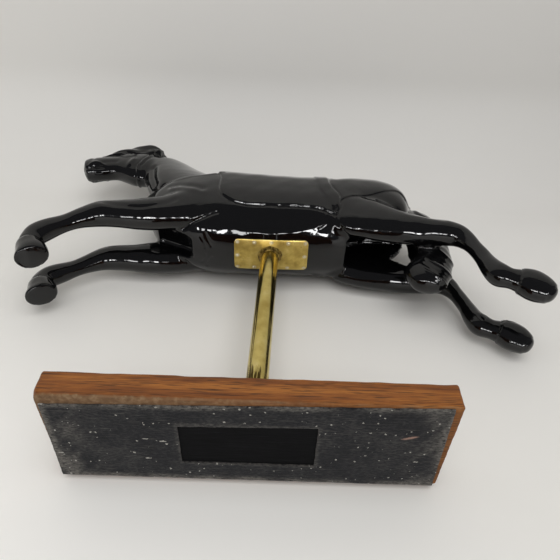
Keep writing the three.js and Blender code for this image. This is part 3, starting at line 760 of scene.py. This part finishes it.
POLE_RINGS = 35
RING_SPACING = 5.1
select_only()
bpy.ops.mesh.primitive_circle_add(vertices=72, radius=POLE_RADIUS * MM, fill_type="NGON")
pole = open_piece("drawn_brass_pole")
bpy.ops.transform.translate(value=(0, 0, -0.2 * MM))
for _ in range(POLE_RINGS):
    bpy.ops.mesh.extrude_region_move(
        TRANSFORM_OT_translate={"value": (0, 0, RING_SPACING * MM)})
close_piece()
tube = points_of(pole)
tube[:, :2] *= 1 + 0.0012 * swell(tube, 5, np.linspace(20, 60, 6))[:, None]
move_points(pole, tube)
leaning = UP.rotation_difference(pole_way).to_matrix().to_4x4()
pole.data.transform(Matrix.Translation(pole_foot) @ leaning)
end = max((v.co - pole_foot) @ pole_way for v in pole.data.vertices)
for vertex in pole.data.vertices:
    if (vertex.co - pole_foot) @ pole_way > end - 1 * MM:
        spot, _, _, _ = plate_skin.ray_cast(vertex.co - pole_way * 20 * MM, pole_way)
        vertex.co = spot + pole_way * 0.2 * MM
select_only(pole)
bpy.ops.object.shade_smooth_by_angle(angle=math.radians(40))

# Drawn brass tube, polished bright: fine lines along it, yellow with olive clouds, dark brown
# tarnish running up from the foot in streaks, and duller heat-stained metal near the plate. The
# lines are drawn coarser than real ones, so that they show.
material, tree, place = new_material("polished_brass_tube")
cloud = add_node(tree, "TexNoise", Vector=(place, "Object"), Scale=every(23.81), Detail=5.0,
                 Roughness=0.6)
tone = add_node(tree, "ValToRGB", Fac=(cloud, "Fac"))
stops(tone, (0.33, "#b39d55"), (0.52, "#d3bf75"), (0.7, "#e2d296"))
drawn = add_node(tree, "Mapping", Vector=(place, "Object"), Scale=every(1.111, 1.111, 25))
lines = add_node(tree, "TexNoise", Vector=(drawn, "Vector"), Scale=1.0, Detail=4.0)
streaked = add_node(tree, "Mapping", Vector=(place, "Object"), Scale=every(2.381, 2.381, 22.22))
streak = add_node(tree, "TexNoise", Vector=(streaked, "Vector"), Scale=1.0, Detail=3.0)
height = add_node(tree, "SeparateXYZ", Vector=(place, "Object"))
creep = add_node(tree, "Math", operation="MULTIPLY_ADD", i0=(streak, "Fac"), i1=-0.09,
                 i2=(height, "Z"))
foot = add_node(tree, "MapRange", Value=(creep, "Value"), From_Min=pole_foot.z - 0.021,
                From_Max=pole_foot.z - 0.009, To_Min=1.0, To_Max=0.0)
soaked = add_node(tree, "Math", operation="MULTIPLY_ADD", i0=(streak, "Fac"), i1=0.03,
                  i2=(height, "Z"))
end = add_node(tree, "MapRange", Value=(soaked, "Value"), From_Min=pole_top.z - 0.008,
               From_Max=pole_top.z + 0.014, To_Max=0.6)
dark = add_node(tree, "Math", operation="MAXIMUM", use_clamp=True, i0=(foot, "Result"),
                i1=(end, "Result"))
specks = add_node(tree, "TexNoise", Vector=(place, "Object"), Scale=every(2.381), Detail=2.0)
dots = add_node(tree, "MapRange", Value=(specks, "Fac"), From_Min=0.68, From_Max=0.75, To_Max=0.5)
speckled = add_node(tree, "Mix", data_type="RGBA", i0=(dots, "Result"), i6=(tone, "Color"),
                    i7="#80703c")
colour = add_node(tree, "Mix", data_type="RGBA", i0=(dark, "Value"), i6=(speckled, 2), i7="#4d3f1f")
gloss = add_node(tree, "MapRange", Value=(cloud, "Fac"), From_Min=0.3, From_Max=0.7, To_Min=0.1,
                 To_Max=0.2)
rough = add_node(tree, "Math", operation="MULTIPLY_ADD", i0=(dark, "Value"), i1=0.25,
                 i2=(gloss, "Result"))
bump = add_node(tree, "Bump", Height=(lines, "Fac"), Strength=0.2, Distance=0.00015)
surface = add_node(tree, "BsdfPrincipled", Base_Color=(colour, 2), Metallic=1.0,
                   Roughness=(rough, "Value"), Normal=(bump, "Normal"))
add_node(tree, "OutputMaterial", Surface=(surface, "BSDF"))
pole.data.materials.append(material)
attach(pole, "root")
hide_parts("pole")

# ---------------------------------------------------------------- braze
# The bead of brazing metal round the top of the pole, where it meets the plate. It ran unevenly,
# and was left as it set, with burnt flux in its hollows.

BEAD_BORE = POLE_RADIUS - 0.3        # its inside is hidden in the pole
BEAD_DEPTH = 2.9                     # how far it reaches down the pole
select_only()
bpy.ops.mesh.primitive_circle_add(vertices=72, radius=BEAD_BORE * MM, fill_type="NOTHING")
bead = open_piece("brazed_bead")
bpy.ops.mesh.select_mode(type="VERT")
bpy.ops.mesh.select_all(action="SELECT")
bpy.ops.transform.translate(value=(0, 0, -BEAD_DEPTH * MM))
extrude_profile([(-BEAD_DEPTH, BEAD_BORE), (-BEAD_DEPTH, 8.35), (-2.6, 8.7), (-2.1, 9.0), (-1.5, 9.3),
                 (-0.9, 9.8), (-0.4, 10.3), (-0.05, 10.9), (0.4, 10.9), (0.4, 7.7)])
bpy.ops.mesh.select_all(action="DESELECT")
bpy.ops.mesh.select_mode(type="EDGE")
bpy.ops.mesh.select_non_manifold(extend=False)
bpy.ops.mesh.bridge_edge_loops()
close_piece()
apply_modifier(bead, "SUBSURF", levels=1, render_levels=1)
metal = points_of(bead)
turn = np.arctan2(metal[:, 1], metal[:, 0])
radius = np.hypot(metal[:, 0], metal[:, 1])
spread = blend(8.2, 10.5, radius) * (0.4 * np.sin(2 * turn + 2.2) + 0.25 * np.sin(5 * turn)
                                     + 0.15 * np.sin(9 * turn + 1) + 0.1 * np.sin(17 * turn))
metal[:, :2] *= (1 + spread / radius)[:, None]
metal[:, 2] += blend(8.2, 8.8, radius) * 0.12 * swell(metal, 8, np.linspace(2.5, 6, 6))
move_points(bead, metal)
bead.data.transform(Matrix.Translation((pole_top.x, 0, 0)))
for vertex in bead.data.vertices:
    spot, _ = above(vertex.co, plate_skin)
    vertex.co.z += spot.z
select_only(bead)
bpy.ops.object.shade_smooth()

# Brazing brass as it set: browner and duller than the tube, with burnt black flux in patches.
material, tree, place = new_material("raw_brazing_brass")
flux = add_node(tree, "TexNoise", Vector=(place, "Object"), Scale=every(2.632), Detail=4.0)
tone = add_node(tree, "ValToRGB", Fac=(flux, "Fac"))
stops(tone, (0.36, "#4c3c20"), (0.5, "#8a733c"), (0.66, "#b59f5c"))
rough = add_node(tree, "MapRange", Value=(flux, "Fac"), To_Min=0.6, To_Max=0.22)
bump = add_node(tree, "Bump", Height=(flux, "Fac"), Strength=0.6, Distance=0.0004)
surface = add_node(tree, "BsdfPrincipled", Base_Color=(tone, "Color"), Metallic=0.95,
                   Roughness=(rough, "Result"), Normal=(bump, "Normal"))
add_node(tree, "OutputMaterial", Surface=(surface, "BSDF"))
bead.data.materials.append(material)
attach(bead, "root")
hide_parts("pole_braze")

# ---------------------------------------------------------------- base
# One plain board of reddish hardwood, planed, oiled and left square. Its edges are rubbed round,
# a lower corner is knocked off, and its underside is bare, grey and dirty round the felt.

WINDOW_Y = -1.5
WINDOW_HALF = (44.5, 21.5)           # the bare patch under the felt's window, blackened
low, high = Vector(base_low), Vector(base_high)
select_only()
bpy.ops.mesh.primitive_cube_add(size=1)
block = open_piece("hardwood_base")
bpy.ops.transform.resize(value=high - low, center_override=(0, 0, 0))
bpy.ops.transform.translate(value=(low + high) / 2)
bpy.ops.mesh.bevel(offset=0.9 * MM, segments=2, affect="EDGES")
bpy.ops.mesh.select_all(action="SELECT")
corner = Vector((high.x, high.y, low.z)) + Vector((-1.7, -1.5, 1.7)) * MM
bpy.ops.mesh.bisect(plane_co=corner, plane_no=(0.62, 0.5, -0.6), clear_outer=True, use_fill=True)
bpy.ops.object.mode_set(mode="OBJECT")
apply_modifier(block, "REMESH", mode="VOXEL", voxel_size=1.1 * MM, use_smooth_shade=True)
apply_modifier(block, "SMOOTH", factor=0.5, iterations=2)
wood = points_of(block)
inside = np.array((high - low) / 2) / MM - np.abs(wood - np.array((low + high) / 2) / MM)
to_edge = np.sort(inside, axis=1)[:, 1]
patches = 0.45 + 0.35 * swell(wood, 11, np.linspace(5, 60, 12))
rubbing = blend(2.6, 0, to_edge) * np.clip(patches, 0, 1.2)
nicks = blend(1.6, 0, to_edge) * blend(2.3, 3.4, swell(wood, 12, np.linspace(3, 9, 10)))
planed = 0.02 * swell(wood * (0.15, 1, 1), 13, np.linspace(3, 12, 8))
move_points(block, wood + normals_of(block) * (planed - 0.5 * rubbing - 0.8 * nicks)[:, None])
worn = block.data.attributes.new("edge_wear", "FLOAT", "POINT")
worn.data.foreach_set("value", np.clip(rubbing + nicks, 0, 1))
middle = (low + high) / 2 / MM
in_window = ((np.abs(wood[:, :2] - (middle.x, WINDOW_Y)) < WINDOW_HALF).all(axis=1)
             & (wood[:, 2] < 4))
black = block.data.attributes.new("blackened", "FLOAT", "POINT")
black.data.foreach_set("value", in_window.astype(float))

# Oiled reddish hardwood: long straight grain with short dark pores, lighter where edges are rubbed,
# grey and dusty on the bare underside, and painted black in the window of the felt. Fibres and
# pores are drawn coarser than real ones, so that they show.
material, tree, place = new_material("oiled_red_hardwood")
banded = add_node(tree, "Mapping", Vector=(place, "Object"), Scale=every(200, 11.11, 8.333))
bands = add_node(tree, "TexNoise", Vector=(banded, "Vector"), Scale=1.0, Detail=3.0, Distortion=0.4)
fibred = add_node(tree, "Mapping", Vector=(place, "Object"), Scale=every(26.32, 1.22, 1.22))
fibres = add_node(tree, "TexNoise", Vector=(fibred, "Vector"), Scale=1.0, Detail=4.0, Roughness=0.75)
pored = add_node(tree, "Mapping", Vector=(place, "Object"), Scale=every(14.29, 0.7692, 0.7692))
pores = add_node(tree, "TexNoise", Vector=(pored, "Vector"), Scale=1.0, Detail=1.0)
figure = add_node(tree, "Mix", data_type="FLOAT", i0=0.5, i2=(bands, "Fac"), i3=(fibres, "Fac"))
tone = add_node(tree, "ValToRGB", Fac=(figure, 0))
stops(tone, (0.38, "#5b3114"), (0.5, "#7f4a1e"), (0.62, "#9c622a"))
pits = add_node(tree, "MapRange", Value=(pores, "Fac"), From_Min=0.56, From_Max=0.68, To_Max=0.75)
pitted = add_node(tree, "Mix", data_type="RGBA", i0=(pits, "Result"), i6=(tone, "Color"),
                  i7="#3d2412")
wear = add_node(tree, "Attribute", attribute_name="edge_wear")
rubbed = add_node(tree, "MapRange", Value=(wear, "Fac"), From_Min=0.25, From_Max=0.9, To_Max=0.55)
edged = add_node(tree, "Mix", data_type="RGBA", i0=(rubbed, "Result"), i6=(pitted, 2), i7="#8f7152")
dust = add_node(tree, "TexNoise", Vector=(place, "Object"), Scale=every(3.125), Detail=5.0)
height = add_node(tree, "SeparateXYZ", Vector=(place, "Object"))
ragged = add_node(tree, "Math", operation="MULTIPLY_ADD", i0=(dust, "Fac"), i1=-0.0022,
                  i2=(height, "Z"))
under = add_node(tree, "MapRange", Value=(ragged, "Value"), From_Min=base_low[2] - 0.0006,
                 From_Max=base_low[2] + 0.0006, To_Min=0.85, To_Max=0.0)
grey = add_node(tree, "ValToRGB", Fac=(dust, "Fac"))
stops(grey, (0.35, "#66513c"), (0.52, "#776048"), (0.68, "#8a745a"))
forward = add_node(tree, "MapRange", Value=(height, "X"), From_Min=STAND_X - 0.04,
                   From_Max=STAND_X + 0.07, To_Min=0.3, To_Max=1.0)
dulled = add_node(tree, "Math", operation="MULTIPLY", i0=(under, "Result"), i1=(forward, "Result"))
dusty = add_node(tree, "Mix", data_type="RGBA", i0=(dulled, "Value"), i6=(edged, 2),
                 i7=(grey, "Color"))
paint = add_node(tree, "Attribute", attribute_name="blackened")
scuffs = add_node(tree, "ValToRGB", Fac=(fibres, "Fac"))
stops(scuffs, (0.4, "#080809"), (0.62, "#0f0f11"), (0.74, "#222226"))
colour = add_node(tree, "Mix", data_type="RGBA", i0=(paint, "Fac"), i6=(dusty, 2),
                  i7=(scuffs, "Color"))
matt = add_node(tree, "Math", operation="MAXIMUM", i0=(under, "Result"), i1=(paint, "Fac"))
rough = add_node(tree, "MapRange", Value=(matt, "Value"), To_Min=0.42, To_Max=0.85)
relief = add_node(tree, "Math", operation="MULTIPLY_ADD", i0=(pits, "Result"), i1=-0.8,
                  i2=(fibres, "Fac"))
bump = add_node(tree, "Bump", Height=(relief, "Value"), Strength=0.35, Distance=0.0003)
sheen = add_node(tree, "MapRange", Value=(matt, "Value"), To_Min=0.3, To_Max=0.08)
surface = add_node(tree, "BsdfPrincipled", Base_Color=(colour, 2), Roughness=(rough, "Result"),
                   IOR=1.5, Specular_IOR_Level=(sheen, "Result"), Normal=(bump, "Normal"))
add_node(tree, "OutputMaterial", Surface=(surface, "BSDF"))
block.data.materials.append(material)
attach(block, "root")
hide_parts("base")

# ---------------------------------------------------------------- felt
# A sheet of black felt glued under the base, cut by hand: it narrows to the front, and a window is
# cut out of its middle. It is rubbed flat and grey and has picked up lint, and a band round the
# window is painted paler: a painted highlight on its lit cut edge.

# Rows from one long edge to the other, each from rear to front, with the window in the middle.
FELT_NET = np.array([[(-122, -40.3), (-41.5, -40.3), (43.5, -40.3), (124, -40.3)],
                     [(-121.3, -21.5), (-41.5, -21.5), (43.5, -21.5), (123.6, -21.5)],
                     [(-119.8, 18.5), (-41.5, 18.5), (43.5, 16), (122.9, 16)],
                     [(-119, 40.3), (-41.5, 38), (43.5, 35.4), (122.5, 33)]])
CELLS_ALONG = np.array([0, 60, 122, 182])          # where its parts begin and end, in cells
CELLS_ACROSS = np.array([0, 14, 42, 58])
FELT_THICKNESS = 1.15
select_only()
bpy.ops.mesh.primitive_grid_add(x_subdivisions=CELLS_ALONG[-1],
                                y_subdivisions=CELLS_ACROSS[-1], size=2)
felt = bpy.context.object
felt.name = "underside_felt"
cells = np.round((points_of(felt)[:, :2] * MM + 1) / 2
                 * (CELLS_ALONG[-1], CELLS_ACROSS[-1])).astype(int)
column = np.clip(np.searchsorted(CELLS_ALONG, cells[:, 0], side="right") - 1, 0, 2)
row = np.clip(np.searchsorted(CELLS_ACROSS, cells[:, 1], side="right") - 1, 0, 2)
across = (cells[:, 0] - CELLS_ALONG[column]) / np.diff(CELLS_ALONG)[column]
up = (cells[:, 1] - CELLS_ACROSS[row]) / np.diff(CELLS_ACROSS)[row]
across, up = across[:, None], up[:, None]
spread = ((1 - up) * ((1 - across) * FELT_NET[row, column] + across * FELT_NET[row, column + 1])
          + up * ((1 - across) * FELT_NET[row + 1, column] + across * FELT_NET[row + 1, column + 1]))
cloth_points = np.column_stack([spread, np.zeros(len(spread))])
cloth_points[:, 0] += STAND_X / MM
for axis in (0, 1):
    cloth_points[:, axis] += 0.09 * swell(cloth_points, 21 + axis, np.linspace(4, 16, 10))
cloth_points[:, 2] += 0.1 + 0.03 * np.abs(swell(cloth_points, 23, np.linspace(3, 20, 10)))
move_points(felt, cloth_points)
in_hole = ((cells >= (CELLS_ALONG[1], CELLS_ACROSS[1]))
           & (cells <= (CELLS_ALONG[2], CELLS_ACROSS[2]))).all(axis=1)
hole = [face.index for face in felt.data.polygons if in_hole[list(face.vertices)].all()]
for part in (felt.data.vertices, felt.data.edges, felt.data.polygons):
    part.foreach_set("select", np.zeros(len(part), bool))
for index in hole:
    felt.data.polygons[index].select = True
bpy.ops.object.mode_set(mode="EDIT")
bpy.ops.mesh.select_mode(type="FACE")
bpy.ops.mesh.delete(type="FACE")
bpy.ops.object.mode_set(mode="OBJECT")
felt.data.flip_normals()
apply_modifier(felt, "SOLIDIFY", thickness=FELT_THICKNESS * MM, offset=-1)
apply_modifier(felt, "BEVEL", width=0.25 * MM, segments=2, limit_method="ANGLE",
               angle_limit=math.radians(50))
select_only(felt)
bpy.ops.object.shade_smooth_by_angle(angle=math.radians(45))

flat = points_of(felt)
flat[:, 0] -= STAND_X / MM
from_edge = np.min([flat[:, 0] + 121, 123.5 - flat[:, 0], flat[:, 1] + 40.5,
                    38 - 0.031 * flat[:, 0] - flat[:, 1]], axis=0)
from_window = np.hypot(np.clip(np.abs(flat[:, 0] - 1) - 42.5, 0, None),
                       np.clip(np.abs(flat[:, 1] - WINDOW_Y) - 20, 0, None))
# Paler near the outer edges and the ends, where the felt is rubbed; the band within 3 mm of the window
# is a painted highlight on its lit cut edge, not wear.
rubbed = (0.9 * blend(6.5, 0, from_edge) * (1 + 0.7 * swell(flat, 31, np.linspace(15, 60, 8)))
          + 0.45 * blend(3, 0, from_window)
          + 0.3 * blend(85, 118, np.abs(flat[:, 0])) * (1 + swell(flat, 32, np.linspace(8, 30, 8))))
grey = felt.data.attributes.new("rubbed", "FLOAT", "POINT")
grey.data.foreach_set("value", np.clip(rubbed, 0, 1.2))

# Wool felt, black once, rubbed grey: fine matted fibres, paler dusty clouds, threads and specks of
# white lint, and one reddish scrape near the rear. A paler band just round the window is a painted
# highlight on its lit cut edge. The fibres are drawn coarser than real ones, so that they show.
material, tree, place = new_material("rubbed_black_felt")
cloud = add_node(tree, "TexNoise", Vector=(place, "Object"), Scale=every(31.25), Detail=6.0,
                 Roughness=0.65)
matted = add_node(tree, "Mapping", Vector=(place, "Object"), Scale=every(3.03, 1.429, 2))
matting = add_node(tree, "TexNoise", Vector=(matted, "Vector"), Scale=1.0, Detail=4.0, Roughness=0.7)
fuzz = add_node(tree, "MapRange", Value=(matting, "Fac"), From_Min=0.33, From_Max=0.67)
mottle = add_node(tree, "Mix", data_type="FLOAT", i0=0.3, i2=(cloud, "Fac"), i3=(fuzz, "Result"))
tone = add_node(tree, "ValToRGB", Fac=(mottle, 0))
stops(tone, (0.34, "#121215"), (0.5, "#1d1d20"), (0.68, "#373635"))
jumbled = add_node(tree, "TexNoise", Vector=(place, "Object"), Scale=every(1.111), Detail=1.0)
bent = add_node(tree, "Mix", data_type="VECTOR", i0=0.0016, i4=(place, "Object"),
                i5=(jumbled, "Color"))
lint = add_node(tree, "TexVoronoi", Vector=(bent, 1), Scale=every(3.03))
chosen = add_node(tree, "SeparateColor", Color=(lint, "Color"))
size = add_node(tree, "MapRange", Value=(chosen, "Red"), From_Min=0.66, From_Max=1.0, To_Max=0.26)
speck = add_node(tree, "Math", operation="LESS_THAN", i0=(lint, "Distance"), i1=(size, "Result"))
threaded = add_node(tree, "Mapping", Vector=(bent, 1), Scale=every(12.5, 3.03, 1000),
                    Rotation=(0, 0, 0.5))
threads = add_node(tree, "TexVoronoi", Vector=(threaded, "Vector"), Scale=1.0)
picked = add_node(tree, "SeparateColor", Color=(threads, "Color"))
length = add_node(tree, "MapRange", Value=(picked, "Green"), From_Min=0.86, From_Max=1.0, To_Max=0.22)
thread = add_node(tree, "Math", operation="LESS_THAN", i0=(threads, "Distance"),
                  i1=(length, "Result"))
white = add_node(tree, "Math", operation="MAXIMUM", i0=(speck, "Value"), i1=(thread, "Value"))
scratched = add_node(tree, "Mapping", Vector=(place, "Object"), Scale=every(16.67, 0.9091, 1000),
                     Rotation=(0, 0, 0.25))
scratches = add_node(tree, "TexNoise", Vector=(scratched, "Vector"), Scale=1.0, Detail=2.0)
scratch = add_node(tree, "MapRange", Value=(scratches, "Fac"), From_Min=0.6, From_Max=0.75,
                   To_Max=0.4)
# The rubbed attribute holds both the real wear and the painted highlight round the window.
edges = add_node(tree, "Attribute", attribute_name="rubbed")
patchy_wear_and_highlight = add_node(tree, "Math", operation="MULTIPLY", i0=(edges, "Fac"), i1=(fuzz, "Result"))
rubbed = add_node(tree, "Math", operation="MAXIMUM", use_clamp=True, i0=(patchy_wear_and_highlight, "Value"),
                  i1=(scratch, "Result"))
greyed_and_highlit = add_node(tree, "Mix", data_type="RGBA", i0=(rubbed, "Value"), i6=(tone, "Color"),
                  i7="#6e6a64")
flecked = add_node(tree, "Mix", data_type="RGBA", i0=(white, "Value"), i6=(greyed_and_highlit, 2), i7="#a3a099")
scraped = add_node(tree, "Mapping", vector_type="TEXTURE", Vector=(place, "Object"),
                   Location=(STAND_X - 0.0975, 0.0122, 0.0), Rotation=(0, 0, -0.31),
                   Scale=(0.0075, 0.0017, 0.01))
scrape = add_node(tree, "TexGradient", gradient_type="SPHERICAL", Vector=(scraped, "Vector"))
scuff = add_node(tree, "Math", operation="MULTIPLY", i0=(scrape, "Fac"), i1=(matting, "Fac"))
rough_scrape = add_node(tree, "MapRange", Value=(scuff, "Value"), From_Min=0.1, From_Max=0.3,
                        To_Max=0.75)
colour = add_node(tree, "Mix", data_type="RGBA", i0=(rough_scrape, "Result"), i6=(flecked, 2),
                  i7="#a48374")
bump = add_node(tree, "Bump", Height=(mottle, 0), Strength=0.7, Distance=0.0006)
surface = add_node(tree, "BsdfPrincipled", Base_Color=(colour, 2), Roughness=0.95,
                   Specular_IOR_Level=0.2, Sheen_Weight=0.05, Normal=(bump, "Normal"))
add_node(tree, "OutputMaterial", Surface=(surface, "BSDF"))
felt.data.materials.append(material)
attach(felt, "root")
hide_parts("base_felt")

# ---------------------------------------------------------------- table, light and camera
# The ornament is shown lying on its right side on a sweep of white paint, so the table is upright
# in this frame. The back of the sweep is clear, so that it hides nothing from the other sides.

LENS_ANGLE = 55.879                  # degrees across the view
bpy.ops.object.camera_add(location=(STAND_X - 0.01152, 0.28488, -0.19074))
camera = bpy.context.object
camera.rotation_mode = "QUATERNION"
camera.rotation_quaternion = (-0.000529, 0.018686, 0.943171, 0.331782)
camera.data.angle = math.radians(LENS_ANGLE)
camera.data.clip_start = 0.01
camera.data.clip_end = 50
bpy.context.scene.camera = camera

TABLE_Y = -0.0457
BEND = 0.12                          # radius of the bend between table and wall
BEND_STEPS = 24
select_only()
bpy.ops.mesh.primitive_plane_add(size=1)
sweep = bpy.context.object
sweep.name = "white_sweep"
rows = [(-3.0, 0.0)]
for i in range(BEND_STEPS + 1):
    turn = math.pi / 2 * i / BEND_STEPS
    rows.append((0.36 + BEND * math.sin(turn), BEND * (1 - math.cos(turn))))
rows.append((0.48, 2.5))
mesh = bpy.data.meshes.new("white_sweep")
corners = [(x, TABLE_Y + y, z) for z, y in rows for x in (-2.5, 2.5)]
strips = [(2 * i, 2 * i + 1, 2 * i + 3, 2 * i + 2) for i in range(len(rows) - 1)]
mesh.from_pydata(corners, [], strips)
mesh.update()
sweep.data = mesh
if mesh.polygons[0].normal.y < 0:
    mesh.flip_normals()
bpy.ops.object.shade_smooth()
material, tree, place = new_material("white_sweep_painted_shade")
# The white is painted paler near the camera and the head end, and greyer towards the wall and the tail
# end: a painted pool of light and painted shade, not a change in the paint.
spot = add_node(tree, "SeparateXYZ", Vector=(place, "Object"))
deep = add_node(tree, "Math", operation="MULTIPLY_ADD", i0=(spot, "X"), i1=-0.55, i2=(spot, "Z"))
shade = add_node(tree, "MapRange", Value=(deep, "Value"), From_Min=-0.2, From_Max=0.75)
tone = add_node(tree, "ValToRGB", Fac=(shade, "Result"))
stops(tone, (0.0, "#fbf9f5"), (0.3, "#e6e4df"), (0.7, "#dddbd7"), (1.0, "#c9c7c3"))
surface = add_node(tree, "BsdfPrincipled", Base_Color=(tone, "Color"), Roughness=0.6)
facing = add_node(tree, "NewGeometry")
clear = add_node(tree, "BsdfTransparent")
either = add_node(tree, "MixShader", i0=(facing, "Backfacing"), i1=(surface, "BSDF"),
                  i2=(clear, "BSDF"))
add_node(tree, "OutputMaterial", Surface=(either, "Shader"))
mesh.materials.append(material)

world = bpy.data.worlds.new("soft_room")
bpy.context.scene.world = world
world.use_nodes = True
tree = world.node_tree
tree.nodes.clear()
ray = add_node(tree, "LightPath")
seen = add_node(tree, "Background", Color="#d6d6d4", Strength=1.0)
lit = add_node(tree, "Background", Color=(0.4, 0.4, 0.4, 1), Strength=1.0)
mirrored = add_node(tree, "Background", Color=(0.16, 0.16, 0.17, 1), Strength=1.0)
first = add_node(tree, "MixShader", i0=(ray, "Is Glossy Ray"), i1=(lit, "Background"),
                 i2=(mirrored, "Background"))
second = add_node(tree, "MixShader", i0=(ray, "Is Camera Ray"), i1=(first, "Shader"),
                  i2=(seen, "Background"))
add_node(tree, "OutputWorld", Surface=(second, "Shader"))


def soft_light(name, place, aim, width, height, power, shines=True, glints=True):
    """A rectangular lamp that lights surfaces where it shines, and is mirrored where it glints."""
    bpy.ops.object.light_add(type="AREA", location=place)
    lamp = bpy.context.object
    lamp.name = name
    lamp.data.shape = "RECTANGLE"
    lamp.data.size, lamp.data.size_y = width, height
    lamp.data.energy = power
    lamp.rotation_mode = "QUATERNION"
    lamp.rotation_quaternion = (Vector(aim) - Vector(place)).to_track_quat("-Z", "Y")
    lamp.visible_diffuse = shines
    lamp.visible_glossy = glints
    lamp.visible_camera = False


soft_light("ceiling", (-0.2, 1.5, -0.7), (0, 0, -0.3), 1.5, 1.5, 16, glints=False)
bpy.context.scene.view_settings.view_transform = "Standard"
soft_light("wall_wash", (0, 0.9, 0.1), (0, 0.4, 0.48), 1.6, 0.2, 1.2, glints=False)
for i, x in enumerate((-1.2, -0.92, -0.7, -0.38, -0.2, 0.14, 0.42, 0.6, 0.93, 1.2)):
    soft_light(f"window_{i}", (x, 0.42, -1.4), (x, 0, 0.2), 0.09 + 0.05 * (i % 3), 0.24, 2.4,
               shines=False)
